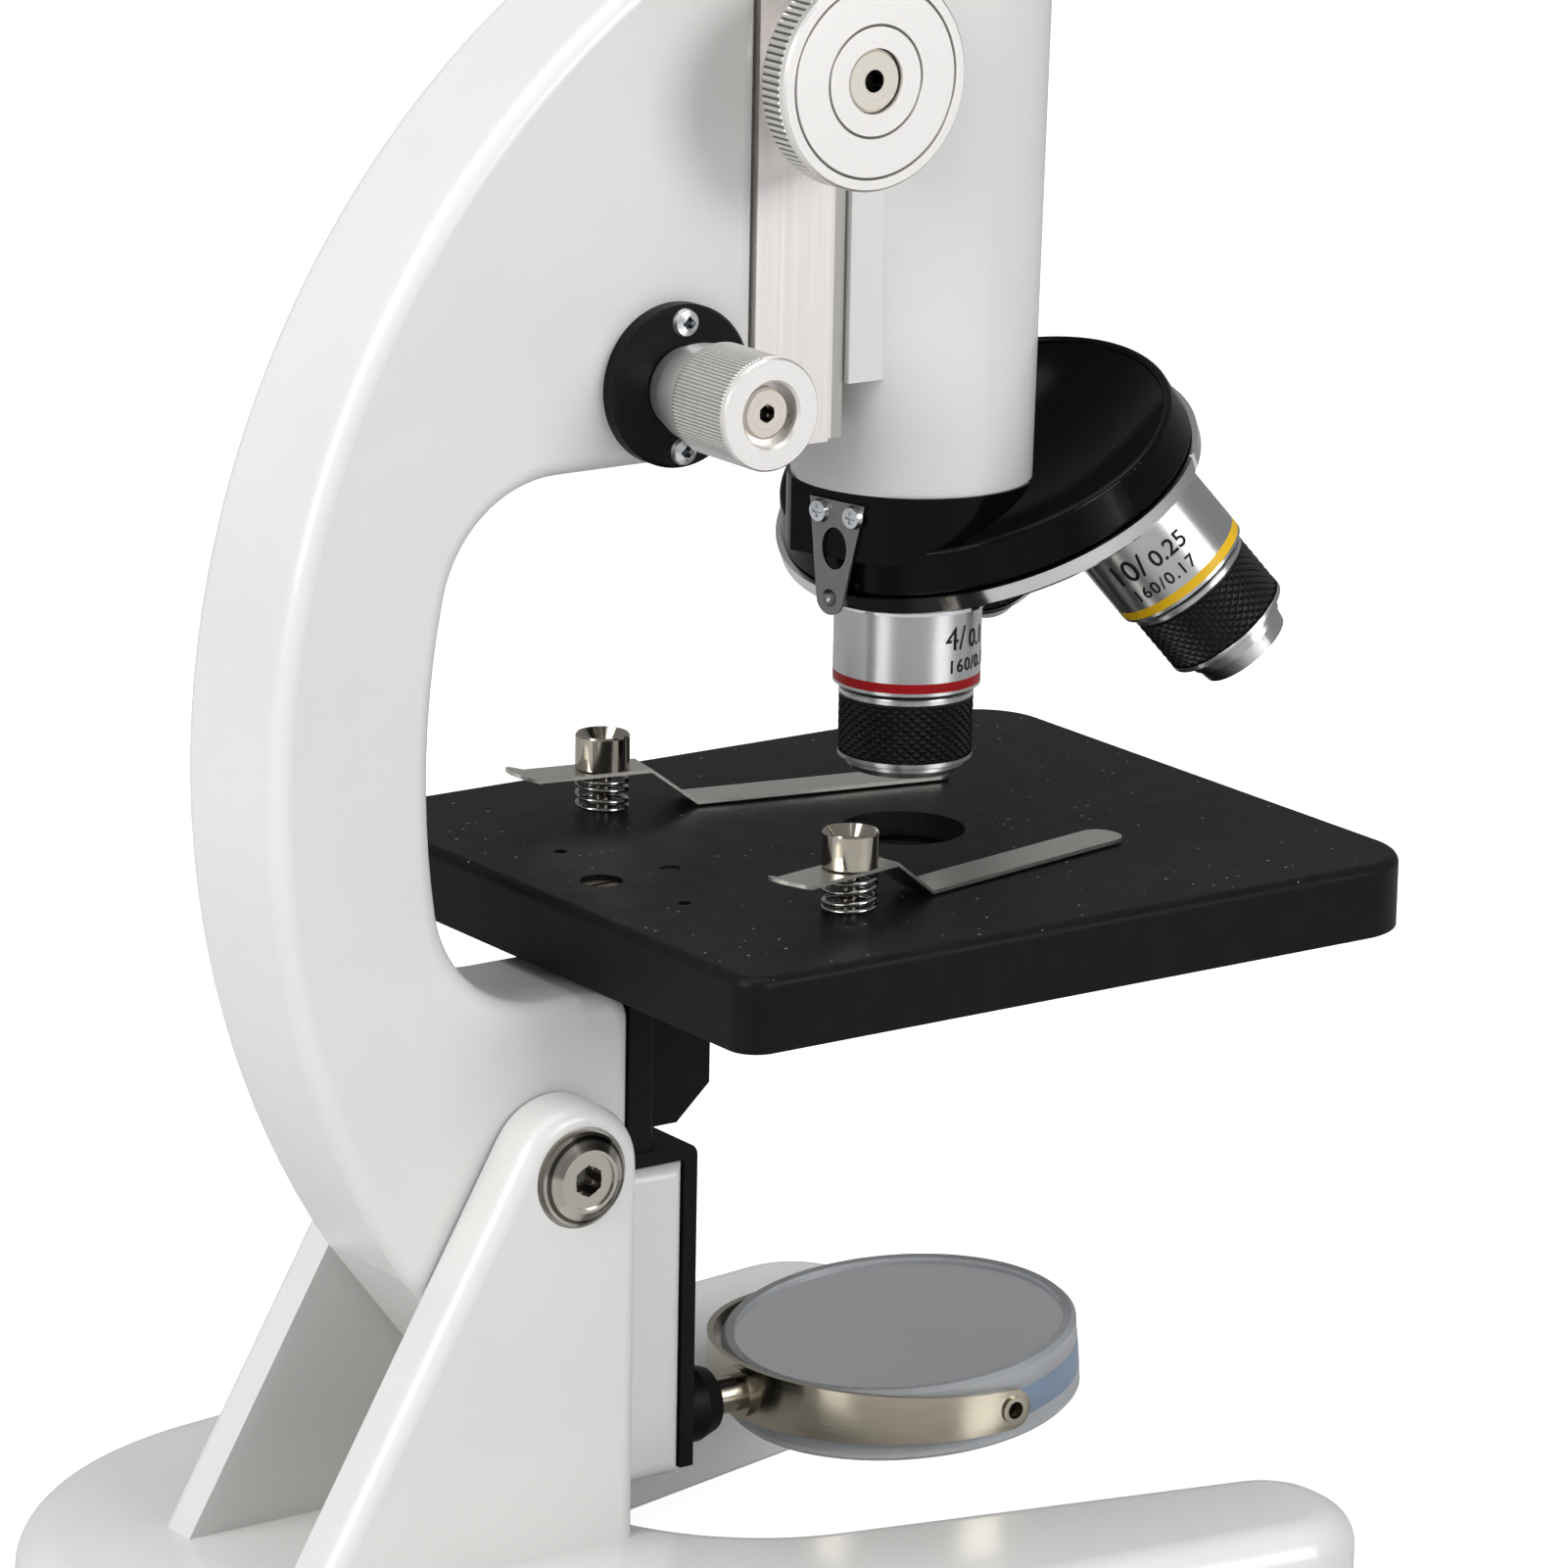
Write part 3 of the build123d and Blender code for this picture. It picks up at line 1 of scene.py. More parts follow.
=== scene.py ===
# %% [markdown]
# # A student microscope with an inclining arm
#
# The solids of this microscope come from a CAD model and are loaded as a fixed frame. This lesson adds what
# the solids leave out: the knurls that fingers grip, the numbers on the objectives, the wound springs under
# the stage clips, and a finish for every surface. All lengths in the frame are metres. X points to the
# operator's right, Y from the arm to the front of the stage, and Z up.

# %% Load the CAD frame
import json
import math

import bmesh
import bpy
import numpy as np
from mathutils import Matrix


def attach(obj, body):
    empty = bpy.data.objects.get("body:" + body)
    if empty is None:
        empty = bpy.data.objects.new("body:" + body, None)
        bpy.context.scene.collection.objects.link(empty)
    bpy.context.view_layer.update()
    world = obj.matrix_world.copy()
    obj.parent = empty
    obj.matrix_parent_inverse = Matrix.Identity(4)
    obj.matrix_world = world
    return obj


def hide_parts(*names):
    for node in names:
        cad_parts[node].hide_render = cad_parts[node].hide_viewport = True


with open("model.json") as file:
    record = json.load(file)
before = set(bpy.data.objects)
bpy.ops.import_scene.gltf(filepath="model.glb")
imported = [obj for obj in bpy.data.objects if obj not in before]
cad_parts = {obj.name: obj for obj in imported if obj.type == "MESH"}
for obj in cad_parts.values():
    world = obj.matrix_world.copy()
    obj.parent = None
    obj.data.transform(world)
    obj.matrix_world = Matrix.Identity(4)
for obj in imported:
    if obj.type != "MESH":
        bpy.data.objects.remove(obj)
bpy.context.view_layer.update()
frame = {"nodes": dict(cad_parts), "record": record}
nodes = frame["nodes"]
slot_of = {part["node"]: part["material_slot"] for part in frame["record"]["subparts"]}

# %% [markdown]
# ## The camera
#
# The photograph was taken from the arm's side, round to the operator's right and a little above the stage,
# with a long lens. Its direction was measured from the stage's corners, so the camera is set by three
# angles instead of by eye: the turn round the object, the rise above the table and a slight roll. Two of
# the camera's axes follow from the third by cross products, which keeps them square to each other.

# %% Place the camera
CAMERA_TURN = math.radians(54.41)
CAMERA_RISE = math.radians(15.207)
CAMERA_ROLL = math.radians(1.08)
CAMERA_PLACE = (0.8904, -0.6152, 0.4280)
SENSOR_WIDTH = 36.0
FOCAL_LENGTH = 169.17
FAR_LIMIT = 20.0

backward = np.array([math.sin(CAMERA_TURN) * math.cos(CAMERA_RISE),
                     -math.cos(CAMERA_TURN) * math.cos(CAMERA_RISE), math.sin(CAMERA_RISE)])
level = np.array([math.cos(CAMERA_TURN), math.sin(CAMERA_TURN), 0.0])
above = np.cross(backward, level)
rightward = math.cos(CAMERA_ROLL) * level + math.sin(CAMERA_ROLL) * above
upward = math.cos(CAMERA_ROLL) * above - math.sin(CAMERA_ROLL) * level
pose = np.eye(4)
pose[:3, :3] = np.stack([rightward, upward, backward], axis=1)
pose[:3, 3] = CAMERA_PLACE

camera = bpy.data.objects.new("camera", bpy.data.cameras.new("camera"))
camera.data.sensor_width = SENSOR_WIDTH
camera.data.lens = FOCAL_LENGTH
camera.data.clip_end = FAR_LIMIT
camera.matrix_world = Matrix(pose.tolist())
bpy.context.scene.collection.objects.link(camera)
bpy.context.scene.camera = camera
print("camera looks along", np.round(-backward, 3).tolist())

# %% [markdown]
# ## Surfaces from grids
#
# Every new piece below is a surface worked out with numpy: a function of two parameters sampled on a grid
# of rows and columns. One helper joins neighbouring samples with four-sided faces. A ring wraps in its
# columns, and a closed ring, such as a bead round a knob, wraps in its rows as well. Merging doubles closes
# the poles where a whole row lies on one point.

# %% Turn a grid of points into a piece
MERGE_DISTANCE = 1e-7


def grid_quads(rows, columns):
    """Corner numbers of each cell of a grid, row by row."""
    index = np.arange(rows * columns).reshape(rows, columns)
    corners = [index[:-1, :-1], index[:-1, 1:], index[1:, 1:], index[1:, :-1]]
    return np.stack(corners, axis=-1).reshape(-1, 4)


def make_piece(name, points, wrap_rows=False, wrap_columns=True, smooth=True):
    """A mesh object from a grid of points; wrapping repeats the first row or column at the end."""
    if wrap_rows:
        points = np.concatenate([points, points[:1]], axis=0)
    if wrap_columns:
        points = np.concatenate([points, points[:, :1]], axis=1)
    mesh = bpy.data.meshes.new(name)
    mesh.from_pydata(points.reshape(-1, 3).tolist(), [], grid_quads(*points.shape[:2]).tolist())
    shell = bmesh.new()
    shell.from_mesh(mesh)
    bmesh.ops.remove_doubles(shell, verts=shell.verts, dist=MERGE_DISTANCE)
    bmesh.ops.recalc_face_normals(shell, faces=shell.faces)
    shell.to_mesh(mesh)
    shell.free()
    mesh.polygons.foreach_set("use_smooth", np.full(len(mesh.polygons), smooth))
    piece = bpy.data.objects.new(name, mesh)
    bpy.context.scene.collection.objects.link(piece)
    print(name, "has", len(mesh.polygons), "faces")
    return piece


# %% [markdown]
# ## The studio
#
# A plain pale floor and soft light keep attention on the object. The floor is a wide flat disc, a polar
# grid whose first row is its centre. Large area lights stand in for softboxes: a key at the camera's left,
# a fill at its right, one overhead and one high at the left. Between them it stays darker, because polished
# metal only looks like metal where it mirrors both bright and dark. The world adds an even pale light, and
# the standard view transform shows white paint as bright as it is lit.

# %% Floor
FLOOR_REACH = 9.0
FLOOR_DROP = 0.0003
ring = np.linspace(0.0, FLOOR_REACH, 24)[:, None]
angle = np.linspace(0.0, 2 * np.pi, 96, endpoint=False)[None, :]
disc = np.stack([ring * np.cos(angle), ring * np.sin(angle), 0 * ring * angle - FLOOR_DROP], axis=-1)
floor = make_piece("floor", disc)

# %% Lights
LIGHTS = {
    "key": ((0.30, -1.75, 0.95), 1.1, 27.0),
    "fill": ((1.75, 0.70, 0.80), 0.9, 20.5),
    "overhead": ((0.1, 0.1, 2.0), 1.4, 17.0),
    "high_left": ((-0.20, -1.10, 1.90), 1.0, 9.0),
}
AIM = np.array([0.0, 0.03, 0.15])
WORLD_TINT = (0.97, 0.98, 1.0, 1.0)
WORLD_STRENGTH = 0.28


def aimed(place):
    """Matrix of a lamp at a place whose -Z axis points at the object: three axes by cross products."""
    back = (np.array(place) - AIM) / np.linalg.norm(np.array(place) - AIM)
    nearly_upright = abs(back[2]) > 0.95
    side = np.cross((0.0, 1.0, 0.0) if nearly_upright else (0.0, 0.0, 1.0), back)
    side = side / np.linalg.norm(side)
    matrix = np.eye(4)
    matrix[:3, :3] = np.stack([side, np.cross(back, side), back], axis=1)
    matrix[:3, 3] = place
    return Matrix(matrix.tolist())


for name, (place, size, power) in LIGHTS.items():
    lamp = bpy.data.lights.new(name, "AREA")
    lamp.shape = "SQUARE"
    lamp.size = size
    lamp.energy = power
    holder = bpy.data.objects.new(name, lamp)
    holder.matrix_world = aimed(place)
    bpy.context.scene.collection.objects.link(holder)
world = bpy.data.worlds.new("studio")
world.use_nodes = True
backdrop = world.node_tree.nodes["Background"]
backdrop.inputs["Color"].default_value = WORLD_TINT
backdrop.inputs["Strength"].default_value = WORLD_STRENGTH
bpy.context.scene.world = world
bpy.context.scene.view_settings.view_transform = "Standard"
print(len(LIGHTS), "lights placed")

# %% [markdown]
# ## Shared effects
#
# Five effects return on many pieces, so each is a shader node group with named inputs: the skin of sprayed
# paint, streaks left by drawing or brushing metal, the fine lines that a lathe leaves, specks of dust, and
# rings of painted shade in turned grooves and in the sockets of screws. A group measures everything on
# Object coordinates, which are the model's own metres. It puts out a mask for colour and roughness and a
# height for a bump, and the shader stays in the material.

# %% Small helpers for node trees
FLOAT = "NodeSocketFloat"
VECTOR = "NodeSocketVector"


def add_node(tree, kind, values=None, **settings):
    """A node with its settings made and its unlinked inputs filled in."""
    node = tree.nodes.new(kind)
    for key, value in settings.items():
        setattr(node, key, value)
    for key, value in (values or {}).items():
        node.inputs[key].default_value = value
    return node


def new_group(name, inputs, outputs):
    """An empty node group with named sockets, and its input and output nodes."""
    group = bpy.data.node_groups.new(name, "ShaderNodeTree")
    for label, kind in inputs.items():
        group.interface.new_socket(label, in_out="INPUT", socket_type=kind)
    for label in outputs:
        group.interface.new_socket(label, in_out="OUTPUT", socket_type=FLOAT)
    return group, group.nodes.new("NodeGroupInput"), group.nodes.new("NodeGroupOutput")


# %% The skin of sprayed paint
def make_paint_skin():
    """Two noises on Object coordinates: broad soft patches for tone, a fine orange peel for height."""
    group, given, out = new_group("paint_skin", {"Patches": FLOAT, "Peel": FLOAT}, ("Mask", "Height"))
    place = add_node(group, "ShaderNodeTexCoord")
    for source, target in (("Patches", "Mask"), ("Peel", "Height")):
        noise = add_node(group, "ShaderNodeTexNoise", {"Detail": 2.0})
        group.links.new(place.outputs["Object"], noise.inputs["Vector"])
        group.links.new(given.outputs[source], noise.inputs["Scale"])
        group.links.new(noise.outputs[0], out.inputs[target])
    return group


paint_skin = make_paint_skin()
print(paint_skin.name, "has", len(paint_skin.nodes), "nodes")

# %% Streaks of drawn or brushed metal
def make_drawn_streaks():
    """One noise on coordinates stretched by a vector, so that it runs long where the vector is small."""
    group, given, out = new_group("drawn_streaks", {"Stretch": VECTOR}, ("Mask", "Height"))
    place = add_node(group, "ShaderNodeTexCoord")
    stretch = add_node(group, "ShaderNodeVectorMath", operation="MULTIPLY")
    noise = add_node(group, "ShaderNodeTexNoise", {"Scale": 1.0, "Detail": 3.0})
    group.links.new(place.outputs["Object"], stretch.inputs[0])
    group.links.new(given.outputs["Stretch"], stretch.inputs[1])
    group.links.new(stretch.outputs[0], noise.inputs["Vector"])
    group.links.new(noise.outputs[0], out.inputs["Mask"])
    group.links.new(noise.outputs[0], out.inputs["Height"])
    return group


drawn_streaks = make_drawn_streaks()
print(drawn_streaks.name, "has", len(drawn_streaks.nodes), "nodes")

# %% Lines of the lathe
def make_turned_lines():
    """A noise in one dimension: the distance along an axis plus the radius from it, times lines per metre."""
    sockets = {"Centre": VECTOR, "Axis": VECTOR, "Lines": FLOAT}
    group, given, out = new_group("turned_lines", sockets, ("Mask", "Height"))
    place = add_node(group, "ShaderNodeTexCoord")
    offset = add_node(group, "ShaderNodeVectorMath", operation="SUBTRACT")
    along = add_node(group, "ShaderNodeVectorMath", operation="DOT_PRODUCT")
    foot = add_node(group, "ShaderNodeVectorMath", operation="SCALE")
    away = add_node(group, "ShaderNodeVectorMath", operation="SUBTRACT")
    radius = add_node(group, "ShaderNodeVectorMath", operation="LENGTH")
    total = add_node(group, "ShaderNodeMath", operation="ADD")
    count = add_node(group, "ShaderNodeMath", operation="MULTIPLY")
    noise = add_node(group, "ShaderNodeTexNoise", {"Scale": 1.0, "Detail": 2.0}, noise_dimensions="1D")
    group.links.new(place.outputs["Object"], offset.inputs[0])
    group.links.new(given.outputs["Centre"], offset.inputs[1])
    group.links.new(offset.outputs[0], along.inputs[0])
    group.links.new(given.outputs["Axis"], along.inputs[1])
    group.links.new(given.outputs["Axis"], foot.inputs[0])
    group.links.new(along.outputs["Value"], foot.inputs["Scale"])
    group.links.new(offset.outputs[0], away.inputs[0])
    group.links.new(foot.outputs[0], away.inputs[1])
    group.links.new(away.outputs[0], radius.inputs[0])
    group.links.new(along.outputs["Value"], total.inputs[0])
    group.links.new(radius.outputs["Value"], total.inputs[1])
    group.links.new(total.outputs[0], count.inputs[0])
    group.links.new(given.outputs["Lines"], count.inputs[1])
    group.links.new(count.outputs[0], noise.inputs["W"])
    group.links.new(noise.outputs[0], out.inputs["Mask"])
    group.links.new(noise.outputs[0], out.inputs["Height"])
    return group


turned_lines = make_turned_lines()
print(turned_lines.name, "has", len(turned_lines.nodes), "nodes")

# %% Specks of dust
def make_dust_specks():
    """Distance in plan to scattered points, cut off at a speck's size, for a share of them above a level."""
    sockets = {"Count": FLOAT, "Size": FLOAT, "Share": FLOAT, "Level": FLOAT}
    group, given, out = new_group("dust_specks", sockets, ("Mask",))
    place = add_node(group, "ShaderNodeTexCoord")
    points = add_node(group, "ShaderNodeTexVoronoi", voronoi_dimensions="2D")
    lot = add_node(group, "ShaderNodeSeparateColor")
    height = add_node(group, "ShaderNodeSeparateXYZ")
    size = add_node(group, "ShaderNodeMath", operation="MULTIPLY")
    speck = add_node(group, "ShaderNodeMath", operation="LESS_THAN")
    chosen = add_node(group, "ShaderNodeMath", operation="LESS_THAN")
    upper = add_node(group, "ShaderNodeMath", operation="GREATER_THAN")
    both = add_node(group, "ShaderNodeMath", operation="MULTIPLY")
    lying = add_node(group, "ShaderNodeMath", operation="MULTIPLY")
    group.links.new(place.outputs["Object"], points.inputs["Vector"])
    group.links.new(given.outputs["Count"], points.inputs["Scale"])
    group.links.new(points.outputs["Color"], lot.inputs[0])
    group.links.new(place.outputs["Object"], height.inputs[0])
    group.links.new(given.outputs["Size"], size.inputs[0])
    group.links.new(lot.outputs[1], size.inputs[1])
    group.links.new(points.outputs["Distance"], speck.inputs[0])
    group.links.new(size.outputs[0], speck.inputs[1])
    group.links.new(lot.outputs[0], chosen.inputs[0])
    group.links.new(given.outputs["Share"], chosen.inputs[1])
    group.links.new(height.outputs["Z"], upper.inputs[0])
    group.links.new(given.outputs["Level"], upper.inputs[1])
    group.links.new(speck.outputs[0], both.inputs[0])
    group.links.new(chosen.outputs[0], both.inputs[1])
    group.links.new(both.outputs[0], lying.inputs[0])
    group.links.new(upper.outputs[0], lying.inputs[1])
    group.links.new(lying.outputs[0], out.inputs["Mask"])
    return group


dust_specks = make_dust_specks()
print(dust_specks.name, "has", len(dust_specks.nodes), "nodes")

# %% Rings about an axis
def make_turned_rings():
    """Radius from an axis; the mask is 1 inside the socket's radius and on two thin rings, 0 elsewhere."""
    sockets = {"Centre": VECTOR, "Axis": VECTOR, "Socket": FLOAT, "Inner": FLOAT, "Outer": FLOAT,
               "Width": FLOAT}
    group, given, out = new_group("turned_rings", sockets, ("Mask",))
    place = add_node(group, "ShaderNodeTexCoord")
    offset = add_node(group, "ShaderNodeVectorMath", operation="SUBTRACT")
    square = add_node(group, "ShaderNodeVectorMath", operation="CROSS_PRODUCT")
    radius = add_node(group, "ShaderNodeVectorMath", operation="LENGTH")
    socket = add_node(group, "ShaderNodeMath", operation="LESS_THAN")
    group.links.new(place.outputs["Object"], offset.inputs[0])
    group.links.new(given.outputs["Centre"], offset.inputs[1])
    group.links.new(offset.outputs[0], square.inputs[0])
    group.links.new(given.outputs["Axis"], square.inputs[1])
    group.links.new(square.outputs[0], radius.inputs[0])
    group.links.new(radius.outputs["Value"], socket.inputs[0])
    group.links.new(given.outputs["Socket"], socket.inputs[1])
    total = socket
    for label in ("Inner", "Outer"):
        near = add_node(group, "ShaderNodeMath", operation="COMPARE")
        group.links.new(radius.outputs["Value"], near.inputs[0])
        group.links.new(given.outputs[label], near.inputs[1])
        group.links.new(given.outputs["Width"], near.inputs[2])
        both = add_node(group, "ShaderNodeMath", operation="MAXIMUM")
        group.links.new(total.outputs[0], both.inputs[0])
        group.links.new(near.outputs[0], both.inputs[1])
        total = both
    group.links.new(total.outputs[0], out.inputs["Mask"])
    return group


turned_rings = make_turned_rings()
print("shared effects:", [group.name for group in bpy.data.node_groups])

# %% [markdown]
# ## Finishes
#
# One function builds a finish from its two tones, its range of roughness and one of the shared effects.
# What is the same all over a surface, such as how metallic it is, is set on the shader itself. The mask
# blends the tones and the roughness, and the height feeds a bump of a few hundredths of a millimetre.

# %% Build a finish
COAT_ROUGHNESS = 0.08
GRAIN_TURN = 0.25
BUMP_STRENGTH = 0.6


def make_finish(name, tones, rough, effect, values, metallic=0.0, bump=0.0, coat=0.0, see_through=0.0,
                shine=0.5, grain=0.0):
    """A material whose tone, roughness and bump follow one shared effect; a grain draws out its gloss."""
    material = bpy.data.materials.new(name)
    material.use_nodes = True
    tree = material.node_tree
    shader = tree.nodes["Principled BSDF"]
    shader.inputs["Metallic"].default_value = metallic
    shader.inputs["Coat Weight"].default_value = coat
    shader.inputs["Coat Roughness"].default_value = COAT_ROUGHNESS
    shader.inputs["Transmission Weight"].default_value = see_through
    shader.inputs["Specular IOR Level"].default_value = shine
    shader.inputs["Anisotropic"].default_value = grain
    shader.inputs["Anisotropic Rotation"].default_value = GRAIN_TURN
    skin = add_node(tree, "ShaderNodeGroup", values, node_tree=effect)
    tint = add_node(tree, "ShaderNodeMix", {6: (*tones[0], 1.0), 7: (*tones[1], 1.0)}, data_type="RGBA")
    tint.name = "tint"
    spread = add_node(tree, "ShaderNodeMapRange", {"To Min": rough[0], "To Max": rough[1]})
    relief = add_node(tree, "ShaderNodeBump", {"Strength": BUMP_STRENGTH, "Distance": bump})
    tree.links.new(skin.outputs["Mask"], tint.inputs[0])
    tree.links.new(tint.outputs[2], shader.inputs["Base Color"])
    tree.links.new(skin.outputs["Mask"], spread.inputs["Value"])
    tree.links.new(spread.outputs["Result"], shader.inputs["Roughness"])
    tree.links.new(skin.outputs["Height"], relief.inputs["Height"])
    tree.links.new(relief.outputs["Normal"], shader.inputs["Normal"])
    return material


def paint(piece, material):
    """Puts one finish in every material slot of a piece, and adds a slot where there is none."""
    if not piece.material_slots:
        piece.data.materials.append(material)
    for slot in piece.material_slots:
        slot.material = material


# %% [markdown]
# ## Paint, plastic and glass
#
# The castings are sprayed with a white stoving enamel: glossy, with a faint orange peel and a slightly warm
# tone. The stage carries a finer, duller black, and the nosepiece is polished black. Paint is not metallic.
# The white enamel's gloss comes from a thin clear coat over a rougher base, and the black ones get little
# shine, because black paint that mirrors the room looks grey.

# %% Painted finishes
PAINTS = {
    "white_enamel": dict(tones=((0.60, 0.598, 0.585), (0.66, 0.658, 0.645)), rough=(0.26, 0.36),
                         values={"Patches": 30.0, "Peel": 520.0}, bump=0.00004, coat=0.2),
    "black_enamel": dict(tones=((0.003, 0.003, 0.0035), (0.007, 0.007, 0.008)), rough=(0.36, 0.5),
                         values={"Patches": 160.0, "Peel": 2600.0}, bump=0.00003, shine=0.10),
    "black_gloss": dict(tones=((0.002, 0.002, 0.0025), (0.004, 0.004, 0.0045)), rough=(0.12, 0.22),
                        values={"Patches": 90.0, "Peel": 700.0}, bump=0.00001, shine=0.09),
    "eyepiece_black": dict(tones=((0.006, 0.006, 0.007), (0.014, 0.014, 0.015)), rough=(0.34, 0.46),
                           values={"Patches": 120.0, "Peel": 1800.0}, bump=0.00002),
    "grip_black": dict(tones=((0.003, 0.003, 0.0035), (0.009, 0.009, 0.0095)), rough=(0.32, 0.46),
                       values={"Patches": 300.0, "Peel": 3000.0}, bump=0.00001, shine=0.22),
    "band_red": dict(tones=((0.24, 0.002, 0.004), (0.32, 0.004, 0.008)), rough=(0.3, 0.4),
                     values={"Patches": 300.0, "Peel": 2000.0}, bump=0.00001, shine=0.15),
    "band_yellow": dict(tones=((0.62, 0.36, 0.008), (0.72, 0.44, 0.012)), rough=(0.3, 0.4),
                        values={"Patches": 300.0, "Peel": 2000.0}, bump=0.00001, shine=0.2),
    "band_blue": dict(tones=((0.03, 0.16, 0.44), (0.05, 0.22, 0.55)), rough=(0.24, 0.34),
                      values={"Patches": 300.0, "Peel": 2000.0}, bump=0.00001, coat=0.3),
    "lens_glass": dict(tones=((0.80, 0.84, 0.90), (0.90, 0.93, 0.97)), rough=(0.01, 0.05),
                       values={"Patches": 200.0, "Peel": 900.0}, see_through=1.0),
    "clear_cell": dict(tones=((0.66, 0.68, 0.70), (0.78, 0.80, 0.82)), rough=(0.28, 0.42),
                       values={"Patches": 140.0, "Peel": 800.0}, bump=0.00001, see_through=0.6),
    "mirror_glass": dict(tones=((0.82, 0.83, 0.84), (0.92, 0.93, 0.94)), rough=(0.16, 0.26),
                         values={"Patches": 60.0, "Peel": 1500.0}, metallic=1.0, coat=0.3),
}
finishes = {name: make_finish(name, effect=paint_skin, **look) for name, look in PAINTS.items()}
print(len(finishes), "painted, plastic and glass finishes")

# %% [markdown]
# ## Dust on the stage
#
# The black stage shows every speck. Its enamel is copied, and a small function lays one more blend over the
# tone: pale where the dust group finds a speck, untouched elsewhere.

# %% Stage enamel
def lay_over(material, mask, colour):
    """Blends one colour over a finish's tone where a mask is 1; the new blend takes the tone's name."""
    tree = material.node_tree
    below = tree.nodes["tint"]
    below.name = "tint_below"
    cover = add_node(tree, "ShaderNodeMix", {7: (*colour, 1.0)}, data_type="RGBA")
    cover.name = "tint"
    tree.links.new(mask, cover.inputs[0])
    tree.links.new(below.outputs[2], cover.inputs[6])
    tree.links.new(cover.outputs[2], tree.nodes["Principled BSDF"].inputs["Base Color"])


DUST = {"Count": 450.0, "Size": 0.12, "Share": 0.12, "Level": 0.1195}
DUST_COLOUR = (0.20, 0.17, 0.13)
stage_enamel = finishes["black_enamel"].copy()
stage_enamel.name = "stage_enamel"
specks = add_node(stage_enamel.node_tree, "ShaderNodeGroup", DUST, node_tree=dust_specks)
lay_over(stage_enamel, specks.outputs["Mask"], DUST_COLOUR)
finishes["stage_enamel"] = stage_enamel
print("dust on", stage_enamel.name)

# %% [markdown]
# ## Bare and plated metal
#
# Metal is told apart by how it was worked. The slide block is extruded and brushed along its length, the
# stage clips are cut from rolled strip, the knobs and objectives are turned on a lathe and the turret is
# polished chrome. Turned pieces need their axis, so the apex and directions of the objectives are worked
# out first: the first points straight down, and the others are that one turned by thirds about the turret's
# slanting axis. The lathe's lines also draw each highlight out along the barrel, which the shader's grain
# does.

# %% Axes of the turned pieces
MM = 0.001
APEX = np.array([0.0, 45.0, 210.9])
TURRET_TILT = math.radians(23.5)
TURRET_HEADING = math.radians(-8.0)
turret_axis = np.array([math.sin(TURRET_HEADING) * math.sin(TURRET_TILT),
                        math.cos(TURRET_HEADING) * math.sin(TURRET_TILT), -math.cos(TURRET_TILT)])


def turned_about(vector, axis, angle):
    """A vector turned about an axis: its part along the axis stays, the rest turns by cosine and sine."""
    along = axis * np.dot(axis, vector)
    return along + (vector - along) * math.cos(angle) + np.cross(axis, vector) * math.sin(angle)


straight_down = np.array([0.0, 0.0, -1.0])
objective_axes = {name: turned_about(straight_down, turret_axis, math.radians(-120 * index))
                  for index, name in enumerate(("4x", "10x", "40x"))}
ACROSS = (1.0, 0.0, 0.0)
FINE_CENTRE = np.array([0.0, -9.0, 199.2])
COARSE_CENTRE = np.array([0.0, 14.0, 245.0])
PIVOT_CENTRE = np.array([0.0, -29.5, 81.8])
SCREW_REACH = np.array([0.0, 0.0, 9.7])
print({name: np.round(axis, 3).tolist() for name, axis in objective_axes.items()})

